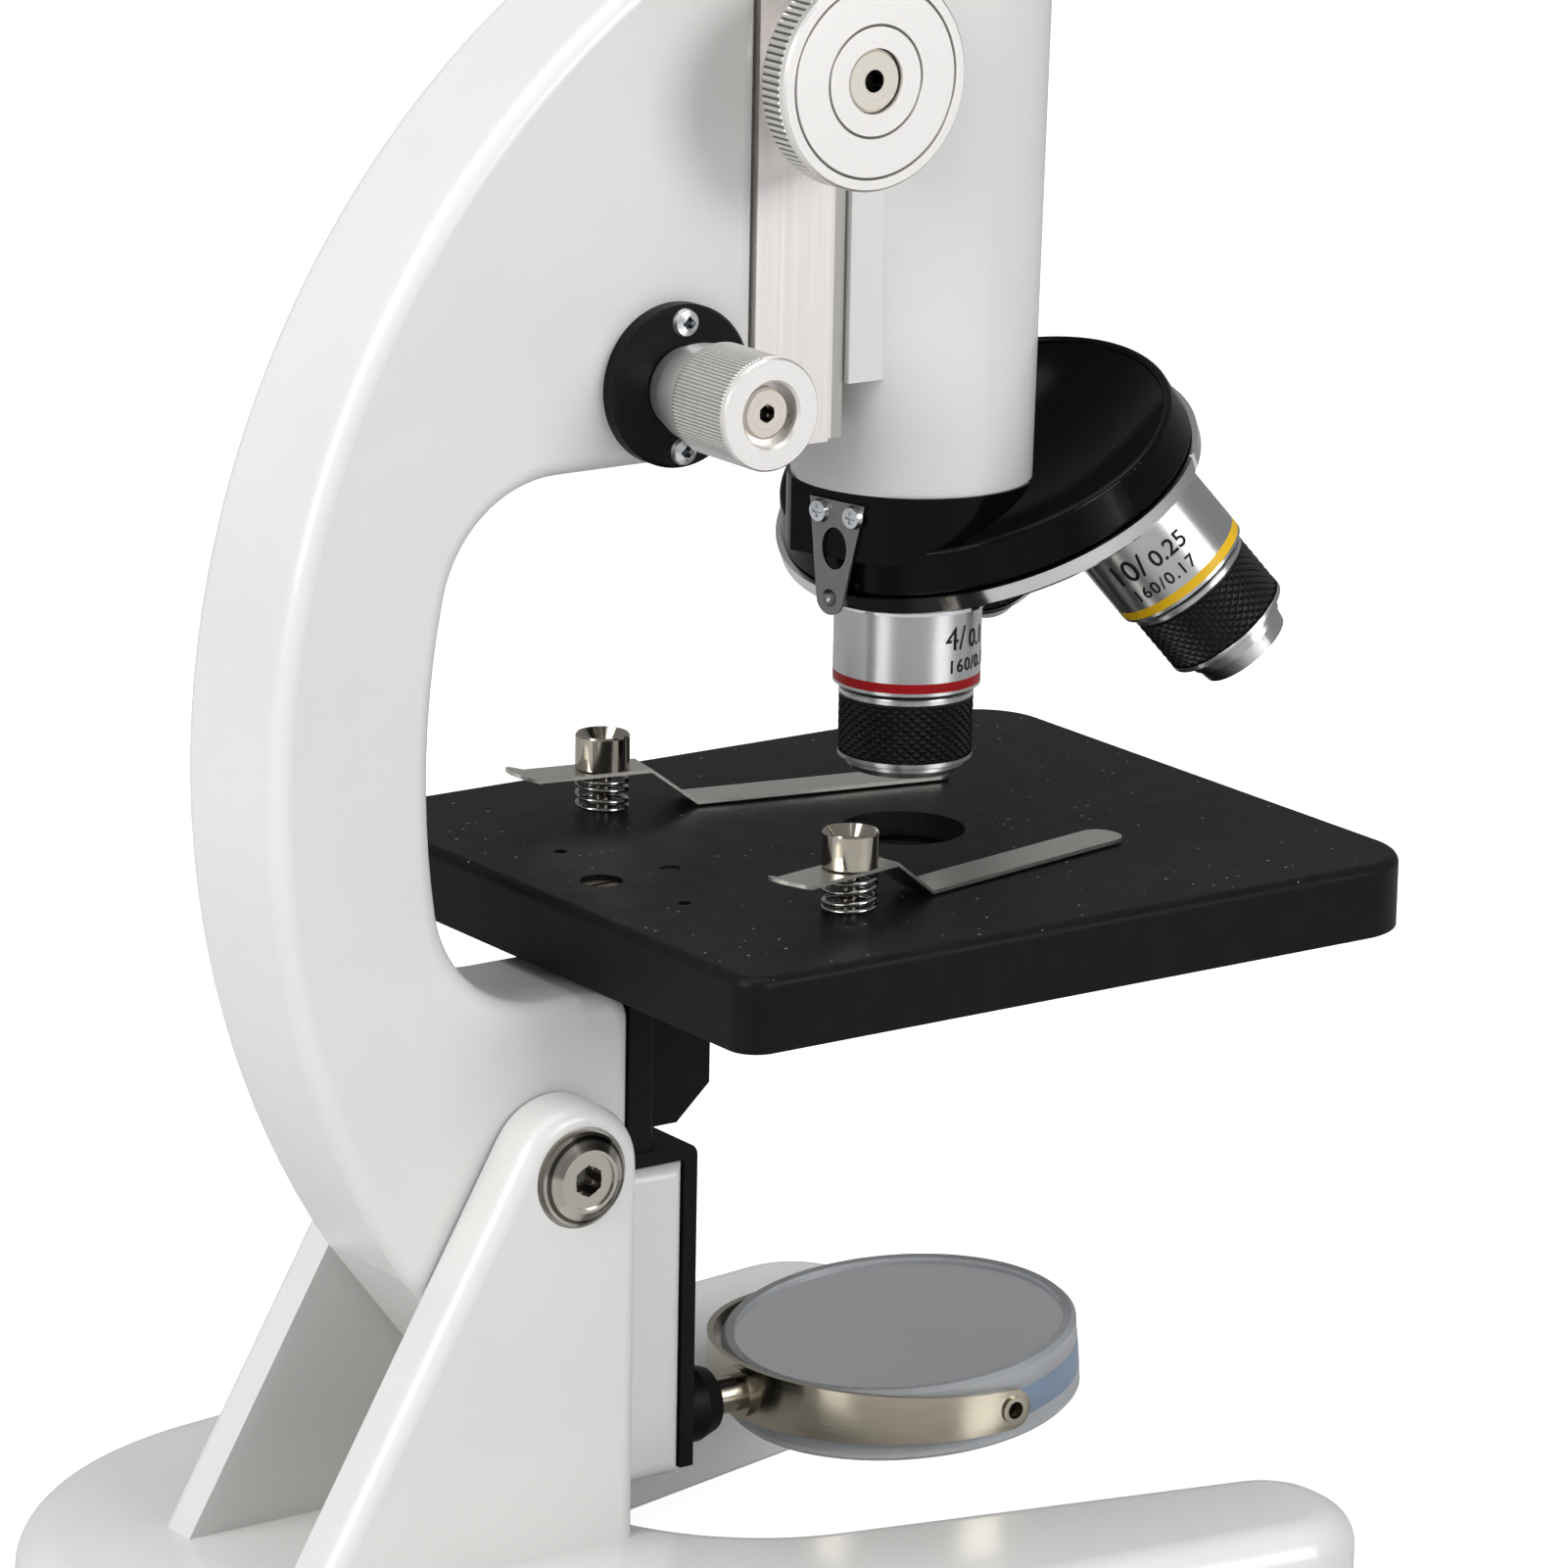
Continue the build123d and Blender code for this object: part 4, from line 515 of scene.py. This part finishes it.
# %% Metal finishes
FINE_TURNED = {"Centre": MM * FINE_CENTRE, "Axis": ACROSS}
COARSE_TURNED = {"Centre": MM * COARSE_CENTRE, "Axis": ACROSS}
METALS = {
    "satin_aluminium": dict(tones=((0.78, 0.735, 0.72), (0.935, 0.895, 0.88)), rough=(0.30, 0.46),
                            effect=drawn_streaks, values={"Stretch": (1500.0, 1500.0, 10.0)}, bump=0.00001),
    "spring_steel": dict(tones=((0.62, 0.60, 0.55), (0.78, 0.76, 0.70)), rough=(0.24, 0.38),
                         effect=drawn_streaks, values={"Stretch": (1800.0, 40.0, 1800.0)}, bump=0.00001),
    "nickel": dict(tones=((0.42, 0.38, 0.305), (0.55, 0.50, 0.405)), rough=(0.14, 0.26),
                   effect=drawn_streaks, values={"Stretch": (90.0, 90.0, 2600.0)}, bump=0.00001),
    "blued_steel": dict(tones=((0.20, 0.195, 0.19), (0.32, 0.31, 0.295)), rough=(0.28, 0.42),
                        effect=drawn_streaks, values={"Stretch": (1500.0, 1500.0, 60.0)}, bump=0.00001),
    "screw_steel": dict(tones=((0.58, 0.60, 0.63), (0.76, 0.78, 0.80)), rough=(0.16, 0.3),
                        effect=paint_skin, values={"Patches": 700.0, "Peel": 2500.0}, bump=0.00001),
    "flange_screw": dict(tones=((0.80, 0.81, 0.82), (0.92, 0.93, 0.94)), rough=(0.28, 0.40),
                         effect=paint_skin, values={"Patches": 700.0, "Peel": 2500.0}),
    "brass": dict(tones=((0.62, 0.44, 0.18), (0.76, 0.56, 0.26)), rough=(0.2, 0.34),
                  effect=paint_skin, values={"Patches": 400.0, "Peel": 2500.0}, bump=0.00001),
    # Brass darkened to near black: painted shade, so the stage screw's recess and the mirror's pin ends look
    # like dark holes.
    "brass_painted_shade": dict(tones=((0.02, 0.017, 0.012), (0.08, 0.064, 0.04)), rough=(0.26, 0.4),
                       effect=paint_skin, values={"Patches": 500.0, "Peel": 2500.0}, bump=0.00001),
    "stud_nickel": dict(tones=((0.44, 0.40, 0.335), (0.56, 0.515, 0.44)), rough=(0.07, 0.14),
                        effect=paint_skin, values={"Patches": 300.0, "Peel": 2500.0}),
    "spring_wire": dict(tones=((0.34, 0.33, 0.315), (0.46, 0.45, 0.43)), rough=(0.10, 0.20),
                        effect=paint_skin, values={"Patches": 500.0, "Peel": 2500.0}),
    "chrome": dict(tones=((0.70, 0.71, 0.72), (0.84, 0.85, 0.86)), rough=(0.06, 0.13), effect=turned_lines,
                   values={"Centre": MM * APEX, "Axis": turret_axis, "Lines": 3000.0}),
    "pivot_nickel": dict(tones=((0.46, 0.425, 0.375), (0.60, 0.56, 0.50)), rough=(0.12, 0.22),
                         effect=turned_lines, bump=0.00001,
                         values={"Centre": MM * PIVOT_CENTRE, "Axis": ACROSS, "Lines": 3500.0}),
    "coarse_screw": dict(tones=((0.84, 0.785, 0.70), (0.92, 0.865, 0.78)), rough=(0.24, 0.34),
                         effect=turned_lines, values={**COARSE_TURNED, "Lines": 2500.0}),
    "fine_screw": dict(tones=((0.78, 0.715, 0.64), (0.86, 0.795, 0.72)), rough=(0.24, 0.34),
                       effect=turned_lines, values={**FINE_TURNED, "Lines": 2500.0}),
}
for kind, turned in (("coarse", COARSE_TURNED), ("fine", FINE_TURNED)):
    METALS[f"{kind}_satin"] = dict(tones=((0.83, 0.81, 0.79), (0.94, 0.92, 0.90)), rough=(0.33, 0.45),
                                   effect=turned_lines, values={**turned, "Lines": 4500.0}, bump=0.00001)
    # The knurls take a darker copy of the satin tone: painted shade on the teeth.
    METALS[f"{kind}_knurl"] = dict(tones=((0.66, 0.645, 0.63), (0.78, 0.765, 0.75)), rough=(0.24, 0.34),
                                   effect=turned_lines, values={**turned, "Lines": 2500.0})
for name, axis in objective_axes.items():
    METALS[f"barrel_{name}"] = dict(tones=((0.64, 0.64, 0.645), (0.72, 0.72, 0.725)), rough=(0.26, 0.34),
                                    effect=turned_lines, grain=0.8,
                                    values={"Centre": MM * APEX, "Axis": axis, "Lines": 3000.0})
finishes.update({name: make_finish(name, metallic=1.0, **look) for name, look in METALS.items()})
print(len(finishes), "finishes in all")

# %% [markdown]
# ## Painted shade in grooves and sockets
#
# The rings cut into the coarse knob, the sockets of the screws and the roots of the knurls are narrow, so
# they look dark on the real object. The light of a render fills such small hollows too well. One more blend
# over the tone paints shade into them where the group of rings finds them, in the same way as the dust was
# laid on the stage. The table gives each finish its centre, the radius of its socket and the radii and half
# width of its rings, in millimetres. A ring that is not wanted gets a radius far outside the object.

# %% Darken the hollows
NO_RING = 1000.0
SHADED_HOLLOWS = (
    ("coarse_satin", COARSE_CENTRE, 0.0, 8.3, 14.4, 0.22, (0.42, 0.41, 0.40)),
    ("coarse_screw", COARSE_CENTRE, 1.7, NO_RING, NO_RING, 0.0, (0.012, 0.011, 0.010)),
    ("fine_screw", FINE_CENTRE, 1.3, NO_RING, NO_RING, 0.0, (0.012, 0.011, 0.010)),
    ("pivot_nickel", PIVOT_CENTRE, 2.3, 6.6, NO_RING, 0.3, (0.09, 0.085, 0.075)),
    ("coarse_knurl", COARSE_CENTRE, 16.15, NO_RING, NO_RING, 0.0, (0.20, 0.195, 0.19)),
    ("fine_knurl", FINE_CENTRE, 8.32, NO_RING, NO_RING, 0.0, (0.34, 0.33, 0.32)),
    ("flange_screw", FINE_CENTRE + SCREW_REACH, 0.9, NO_RING, NO_RING, 0.0, (0.06, 0.07, 0.08)),
    ("flange_screw", FINE_CENTRE - SCREW_REACH, 0.9, NO_RING, NO_RING, 0.0, (0.06, 0.07, 0.08)),
)
# Each row lays painted shade over the tone; its last entry is the colour of that shade.
for name, centre, socket, inner, outer, width, colour in SHADED_HOLLOWS:
    values = {"Centre": MM * centre, "Axis": ACROSS, "Socket": MM * socket, "Inner": MM * inner,
              "Outer": MM * outer, "Width": MM * width}
    rings = add_node(finishes[name].node_tree, "ShaderNodeGroup", values, node_tree=turned_rings)
    lay_over(finishes[name], rings.outputs["Mask"], colour)
print("darkened hollows in", sorted({row[0] for row in SHADED_HOLLOWS}))

# %% [markdown]
# ## Painted shade on the lip of the slide block
#
# The front lip of the slide block, in which the rail runs, gets painted shade: the same function lays a
# darker tone on it, and the mask is simply how far a point lies in front.

# %% Shade the lip
LIP_START = 21.7
LIP_SHADE_COLOUR = (0.46, 0.45, 0.425)
block_aluminium = finishes["satin_aluminium"].copy()
block_aluminium.name = "block_aluminium"
tree = block_aluminium.node_tree
place = add_node(tree, "ShaderNodeTexCoord")
apart = add_node(tree, "ShaderNodeSeparateXYZ")
in_front = add_node(tree, "ShaderNodeMath", {1: MM * LIP_START}, operation="GREATER_THAN")
tree.links.new(place.outputs["Object"], apart.inputs[0])
tree.links.new(apart.outputs["Y"], in_front.inputs[0])
# Painted shade: a darker tone on the lip in front of LIP_START.
lay_over(block_aluminium, in_front.outputs[0], LIP_SHADE_COLOUR)
finishes["block_aluminium"] = block_aluminium
print("dull lip on", block_aluminium.name)

# %% [markdown]
# ## Dressing the CAD nodes
#
# The record names a material slot for each node, and most slots have a finish of the same name. A few nodes
# get a finish of their own: the stage with its dust, the slide block with painted shade on its lip, the blued
# click spring, some of the screws, and the turned pieces, whose lathe lines need their own axis. The floor's
# paper is lit up to white for the eye, and a part of that light is scattered up to the enamel. A light path
# tells such looks from mirrored ones, because a floor that glowed in mirrored looks as well would wash out
# every upright black or polished face.

# %% Give each node its finish
# The stage screw takes the near-black brass, which is painted shade in its recess.
own_finish = {"stage": "stage_enamel", "pivot_bolt": "pivot_nickel", "pivot_nut": "pivot_nickel",
              "click_spring": "blued_steel", "stage_screw": "brass_painted_shade", "fine_knob_screws": "fine_screw",
              "coarse_knob_screws": "coarse_screw", "flange_screws": "flange_screw",
              "slide_block": "block_aluminium"}
for side in ("right", "left"):
    own_finish[f"clip_stud_{side}"] = "stud_nickel"
    own_finish[f"fine_knob_{side}"] = "fine_satin"
    own_finish[f"coarse_knob_{side}"] = "coarse_satin"
for name in objective_axes:
    own_finish[f"objective_{name}_barrel"] = f"barrel_{name}"
for name, node in nodes.items():
    paint(node, finishes[own_finish.get(name, slot_of[name])])
print("finishes used:", sorted({node.material_slots[0].material.name for node in nodes.values()}))

# %% Paper of the floor
GLOW = 0.85
BOUNCE = 0.3
paper = make_finish("floor_paper", ((0.46, 0.46, 0.46), (0.50, 0.50, 0.50)), (0.55, 0.7), paint_skin,
                    {"Patches": 3.0, "Peel": 300.0}, shine=0.2)
tree = paper.node_tree
look = add_node(tree, "ShaderNodeLightPath")
seen = add_node(tree, "ShaderNodeMath", {1: BOUNCE}, operation="MULTIPLY_ADD")
tree.links.new(look.outputs["Is Diffuse Ray"], seen.inputs[0])
tree.links.new(look.outputs["Is Camera Ray"], seen.inputs[2])
tree.links.new(seen.outputs[0], tree.nodes["Principled BSDF"].inputs["Emission Color"])
tree.nodes["Principled BSDF"].inputs["Emission Strength"].default_value = GLOW
paint(floor, paper)
print("the floor glows by", GLOW, "for a straight look,", round(GLOW * BOUNCE, 2), "for light it scatters")

# %% [markdown]
# ## Points about an axis
#
# Knurls, springs and lettering all lie round some axis. One function gives points from a distance along the
# axis, a radius and an angle, with the angle counted from a chosen side and growing to the right for an eye
# that sees the axis run downwards. Lengths go in as millimetres, as on a drawing, and come out as metres.

# %% Cylinder coordinates
def around(origin, axis, side, along, radius, angle):
    """Point = origin + along times the axis + radius times (cosine to one side, sine to the next)."""
    axis = np.asarray(axis, float)
    first = np.asarray(side, float) - axis * np.dot(side, axis)
    first = first / np.linalg.norm(first)
    second = np.cross(first, axis)
    along, radius, angle = np.broadcast_arrays(along, radius, angle)
    outward = np.cos(angle)[..., None] * first + np.sin(angle)[..., None] * second
    return MM * (np.asarray(origin, float) + along[..., None] * axis + radius[..., None] * outward)


def zigzag(phase):
    """Triangle wave: 0 at whole numbers, 1 half-way between them."""
    return 1.0 - np.abs(2.0 * np.mod(phase, 1.0) - 1.0)


# %% [markdown]
# ## Straight knurls on the focus knobs
#
# Both knobs have straight teeth that run along the knob. They could be cut with a boolean for every tooth,
# but a closed ring whose radius follows a triangle wave is lighter and exact: four columns make a tooth,
# and the rows at both ends drop to the root, so each tooth ends in a small slope. The CAD knob is turned
# down to that root.

# %% Knurl rings
TOOTH_SLOPE = 0.35
ROOT_LIFT = 0.01
ROOT_SUNK = 0.05


def straight_knurl(name, centre, start, end, root, depth, teeth):
    """Radius = root + depth times a triangle wave of the angle, faded over a slope at both ends."""
    slope = min(TOOTH_SLOPE, (end - start) / 4)
    phase = np.arange(4 * teeth)[None, :] / 4
    along = np.array([start, start, start + slope, end - slope, end, end])[:, None]
    lift = np.array([0.0, 0.0, 1.0, 1.0, 0.0, 0.0])[:, None]
    foot = np.array([-ROOT_SUNK, ROOT_LIFT, ROOT_LIFT, ROOT_LIFT, ROOT_LIFT, -ROOT_SUNK])[:, None]
    radius = root + foot + depth * lift * zigzag(phase)
    points = around(centre, ACROSS, (0.0, 0.0, 1.0), along, radius, 2 * np.pi * phase / teeth)
    return make_piece(name, points, wrap_rows=True, smooth=False)


KNOBS = {
    "coarse": {"centre": COARSE_CENTRE, "start": 24.8, "end": 29.6, "root": 16.0, "depth": 0.39, "teeth": 94},
    "fine": {"centre": FINE_CENTRE, "start": 24.95, "end": 37.5, "root": 8.25, "depth": 0.19, "teeth": 92},
}
for kind, shape in KNOBS.items():
    for side, sign in (("right", 1), ("left", -1)):
        ends = sorted((sign * shape["start"], sign * shape["end"]))
        knurl = straight_knurl(f"{kind}_knurl_{side}", shape["centre"], *ends, shape["root"],
                               shape["depth"], shape["teeth"])
        paint(knurl, finishes[f"{kind}_knurl"])
        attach(knurl, f"{kind}_knob")

# %% [markdown]
# ## Diamond knurls on the objectives
#
# The black sleeves are knurled both ways, which leaves rows of small pyramids. Two triangle waves that
# climb the sleeve in opposite directions make them: the lower of the two waves is the height, so a point
# stands proud only where it lies between the cuts of both.

# %% Knurled sleeves
SLEEVE_ROOT = 10.1
SLEEVE_DEPTH = 0.42
SLEEVE_START = 69.0
SLEEVE_END = 77.9
DIAMONDS = 36
DIAMOND_ROWS = 6.5
DIAMOND_STEPS = 8
SLEEVE_ROWS = 105
STEEPNESS = 1.35
FLAT_TOP = 0.92
END_FADE = 0.03


def diamond_knurl(name, axis):
    """Radius = root + depth times the lesser of two triangle waves that spiral in opposite directions."""
    up = np.linspace(0.0, 1.0, SLEEVE_ROWS)[:, None]
    turn = np.linspace(0.0, 1.0, DIAMOND_STEPS * DIAMONDS, endpoint=False)[None, :]
    rising = zigzag(DIAMONDS * turn + DIAMOND_ROWS * up)
    falling = zigzag(DIAMONDS * turn - DIAMOND_ROWS * up)
    fade = np.clip(np.minimum(up, 1 - up) / END_FADE, 0.0, 1.0)
    height = fade * np.clip(STEEPNESS * np.minimum(rising, falling), 0.0, FLAT_TOP)
    radius = SLEEVE_ROOT + ROOT_LIFT + SLEEVE_DEPTH * height
    inner = np.full((1, turn.shape[1]), SLEEVE_ROOT - ROOT_SUNK)
    rows = SLEEVE_START + (SLEEVE_END - SLEEVE_START) * up
    along = np.concatenate([[[SLEEVE_START]], rows, [[SLEEVE_END]]])
    radius = np.concatenate([inner, radius, inner])
    points = around(APEX, axis, backward, along, radius, 2 * np.pi * turn)
    return make_piece(name, points, wrap_rows=True, smooth=False)


for name, axis in objective_axes.items():
    knurl = diamond_knurl(f"sleeve_knurl_{name}", axis)
    paint(knurl, finishes["grip_black"])
    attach(knurl, "turret")

# %% [markdown]
# ## Numbers on the objectives
#
# Each barrel carries two lines of plain numbers: magnification and a smaller aperture, and below them the
# tube length and cover glass. The text is made a mesh first, and then every point is moved: its distance
# along the line becomes an angle round the barrel and its height a distance along the axis. A hair's
# thickness keeps it on the surface. Each run starts at a measured angle and stands on a baseline, as it
# does when it is engraved. The strokes are thickened a little, but not in a run with a 4, whose narrow eye
# would fill up.

# %% Wrap lettering round a barrel
BARREL_R = 11.5
INK_LIFT = 0.05
INK_DEPTH = 0.01


def text_mesh(name, words, size, weight, spacing):
    """A flat mesh of a run of text, from its left end along X and from its baseline up along Y."""
    curve = bpy.data.curves.new(name, "FONT")
    curve.body = words
    curve.size = size
    curve.space_character = spacing
    curve.offset = weight
    curve.align_x = "LEFT"
    curve.align_y = "TOP_BASELINE"
    curve.extrude = INK_DEPTH
    holder = bpy.data.objects.new(name, curve)
    bpy.context.scene.collection.objects.link(holder)
    bpy.context.view_layer.update()
    view = bpy.context.evaluated_depsgraph_get()
    mesh = bpy.data.meshes.new_from_object(holder.evaluated_get(view))
    bpy.data.objects.remove(holder)
    bpy.data.curves.remove(curve)
    return mesh


def barrel_text(name, words, size, weight, spacing, axis, along, angle):
    """Wraps a run of text: x over the radius is an angle, y runs back along the axis, z stands proud."""
    mesh = text_mesh(name, words, size, weight, spacing)
    flat = np.zeros(len(mesh.vertices) * 3, np.float32)
    mesh.vertices.foreach_get("co", flat)
    x, y, z = flat.reshape(-1, 3).T.astype(float)
    bent = around(APEX, axis, backward, along - y, BARREL_R + INK_LIFT + z, angle + x / BARREL_R)
    mesh.vertices.foreach_set("co", bent.astype(np.float32).ravel())
    mesh.update()
    piece = bpy.data.objects.new(name, mesh)
    bpy.context.scene.collection.objects.link(piece)
    print(words, "wrapped on", name)
    return piece


RUNS = (
    ("power", 5.3, 0.05, 59.9, 1.0),
    ("aperture", 3.95, 0.05, 59.9, 1.0),
    ("tube", 2.9, 0.04, 63.5, 1.17),
)
NUMBERS = {
    "4x": (("4/", 29.8), ("0.1", 54.6), ("160/0.17", 32.6)),
    "10x": (("10/", -55.0), ("0.25", -17.0), ("160/0.17", -47.9)),
    "40x": (("40/", -75.0), ("0.65", -37.0), ("160/0.17", -67.9)),
}
ink = make_finish("engraved_ink", ((0.008, 0.008, 0.009), (0.02, 0.02, 0.022)), (0.4, 0.55), paint_skin,
                  {"Patches": 900.0, "Peel": 4000.0}, shine=0.1)
for name, words in NUMBERS.items():
    for (run, size, weight, baseline, spacing), (text, start) in zip(RUNS, words):
        boldness = 0.0 if "4" in text else weight
        letters = barrel_text(f"{run}_text_{name}", text, size, boldness, spacing, objective_axes[name],
                              baseline, math.radians(start))
        paint(letters, ink)
        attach(letters, "turret")

# %% [markdown]
# ## Trim on the objectives
#
# A black groove parts the colour band from the grip sleeve, and the sleeve's lower lip is turned bright.
# Both are thin closed rings laid over the solids, so that each keeps a sharp edge at any distance, which a
# blend of two finishes would not.

# %% Black grooves and bright lips
TRIM_SLOPE = 0.08
TRIM_SUNK = 0.04
TRIM_LIFT = 0.02
GROOVE = (67.15, 67.85, 10.2)
BRIGHT_LIP = (77.92, 78.7, 10.5)


def trim_ring(name, axis, start, end, radius):
    """A closed ring about an objective's axis: four rows, raised by a hair between its two ends."""
    along = np.array([start, start + TRIM_SLOPE, end - TRIM_SLOPE, end])[:, None]
    raised = radius + np.array([-TRIM_SUNK, TRIM_LIFT, TRIM_LIFT, -TRIM_SUNK])[:, None]
    turn = np.linspace(0.0, 2 * np.pi, 120, endpoint=False)[None, :]
    points = around(APEX, axis, backward, along, raised, turn)
    ring = make_piece(name, points, wrap_rows=True, smooth=False)
    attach(ring, "turret")
    return ring


for name, axis in objective_axes.items():
    groove = trim_ring(f"black_groove_{name}", axis, *GROOVE)
    paint(groove, finishes["grip_black"])
    lip = trim_ring(f"bright_lip_{name}", axis, *BRIGHT_LIP)
    paint(lip, finishes[f"barrel_{name}"])

# %% [markdown]
# ## Wound springs under the stage clips
#
# A short compression spring holds each clip's leaf up against its stud. The CAD coil is an even helix of
# arcs. A real spring is closed at both ends, so here the first and last turns rise at half the pitch of the
# others. A circle is carried along that path on two vectors square to it: one points away from the coil's
# axis and the other follows by a cross product. Both end rows shrink to a point, which closes the wire.

# %% Wind the springs
COIL_R = 3.9
WIRE_R = 0.4
COIL_TURNS = 4.0
CLOSED_TURNS = 1.0
OPENING_TURNS = 0.3
CLOSED_PITCH = 0.5
COIL_LOW = 120.5
COIL_HIGH = 125.7
COIL_STEPS = 360
WIRE_SIDES = 14
CLIP_X = 33.2
CLIP_Y = 10.7


def wound_spring(name, x, y, hand):
    """Path = circle of the coil's radius, rising by the running sum of a pitch that fades at both ends."""
    turn = np.linspace(0.0, COIL_TURNS, COIL_STEPS + 1)
    opening = (np.minimum(turn, COIL_TURNS - turn) - CLOSED_TURNS) / OPENING_TURNS
    pitch = CLOSED_PITCH + (1.0 - CLOSED_PITCH) * np.clip(opening, 0.0, 1.0)
    rise = np.concatenate([[0.0], np.cumsum(pitch[1:])]) / np.sum(pitch[1:])
    angle = np.pi + hand * 2 * np.pi * turn
    outward = np.stack([np.cos(angle), np.sin(angle), 0 * angle], axis=-1)
    climb = (COIL_HIGH - COIL_LOW) * rise[:, None] * np.array([0.0, 0.0, 1.0])
    path = np.array([x, y, COIL_LOW]) + COIL_R * outward + climb
    tangent = np.gradient(path, axis=0)
    tangent = tangent / np.linalg.norm(tangent, axis=1, keepdims=True)
    across = np.cross(tangent, outward)
    section = np.linspace(0.0, 2 * np.pi, WIRE_SIDES, endpoint=False)[None, :, None]
    circle = np.cos(section) * outward[:, None] + np.sin(section) * across[:, None]
    tube = path[:, None] + WIRE_R * circle
    ends = [np.repeat(path[end][None, None], WIRE_SIDES, axis=1) for end in (0, -1)]
    lap = round(COIL_STEPS / COIL_TURNS)
    gap = np.min(np.linalg.norm(path[:-lap] - path[lap:], axis=1)) - 2 * WIRE_R
    print(name, "least gap between turns", round(float(gap), 2), "mm")
    return make_piece(name, MM * np.concatenate([ends[0], tube, ends[1]]))


for side, sign in (("right", 1), ("left", -1)):
    spring = wound_spring(f"coil_{side}", sign * CLIP_X, CLIP_Y, sign)
    paint(spring, finishes["spring_wire"])
    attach(spring, "arm")
    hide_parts(f"clip_spring_{side}")

# %% [markdown]
# ## The painted edge of the mirror
#
# The two mirrors lie back to back in a frosted clear cell, and a strip of blue-grey backing paint shows in
# the middle of the cell's wall. It is a thin closed ring about the cell's own axis, which leans a little
# forward. It sinks into the wall at the two pivots, so that the hollow rivets there look dark.

# %% Edge strip of the mirror
MIRROR_CENTRE = (0.0, 47.0, 32.5)
MIRROR_LEAN = math.radians(6.0)
EDGE_ROWS = (-2.6, -2.5, 2.1, 2.2)
EDGE_RADII = (28.28, 28.34, 28.34, 28.28)
PIVOT_SINK = 0.25
PIVOT_SPAN = 0.09
cell_axis = np.array([0.0, -math.sin(MIRROR_LEAN), math.cos(MIRROR_LEAN)])
along = np.array(EDGE_ROWS)[:, None]
angle = np.linspace(0.0, 2 * np.pi, 360, endpoint=False)[None, :]
sunk = PIVOT_SINK * np.exp(-(np.abs(np.sin(angle)) / PIVOT_SPAN) ** 6)
radius = np.array(EDGE_RADII)[:, None] - sunk
points = around(MIRROR_CENTRE, cell_axis, ACROSS, along, radius, angle)
edge_strip = make_piece("mirror_edge_paint", points, wrap_rows=True)
edge_blue = make_finish("edge_blue", ((0.14, 0.20, 0.29), (0.21, 0.28, 0.38)), (0.3, 0.44), paint_skin,
                        {"Patches": 120.0, "Peel": 1500.0}, coat=0.2)
paint(edge_strip, edge_blue)
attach(edge_strip, "mirror")

# %% [markdown]
# ## Pin ends in the rivets
#
# The mirror turns on two short pins that sit in the fork's hollow rivets, and their ends show through the
# rivets, painted near black as the shade inside them. Each is a shallow dome: rows run from the rim to the
# pole, where they close on one point.

# %% Pin ends
PIN_R = 1.3
PIN_FOOT = 28.2
PIN_RIM = 28.32
PIN_DOME = 0.25


def pin_end(name, sign):
    """Dome = a circle that shrinks with the cosine of a rising angle, lifted by a little of its sine."""
    rise = np.linspace(0.0, np.pi / 2, 9)[:, None]
    turn = np.linspace(0.0, 2 * np.pi, 40, endpoint=False)[None, :]
    height = sign * (PIN_RIM + PIN_DOME * np.sin(rise))
    foot_height = np.array([[sign * PIN_FOOT]])
    dome = around(MIRROR_CENTRE, ACROSS, cell_axis, height, PIN_R * np.cos(rise), turn)
    foot = around(MIRROR_CENTRE, ACROSS, cell_axis, foot_height, np.array([[PIN_R]]), turn)
    heart = around(MIRROR_CENTRE, ACROSS, cell_axis, foot_height, np.array([[0.0]]), turn)
    return make_piece(name, np.concatenate([heart, foot, dome]))


for side, sign in (("right", 1), ("left", -1)):
    pin = pin_end(f"mirror_pin_{side}", sign)
    # Painted shade: the pin ends take the near-black brass.
    paint(pin, finishes["brass_painted_shade"])
    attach(pin, "mirror")
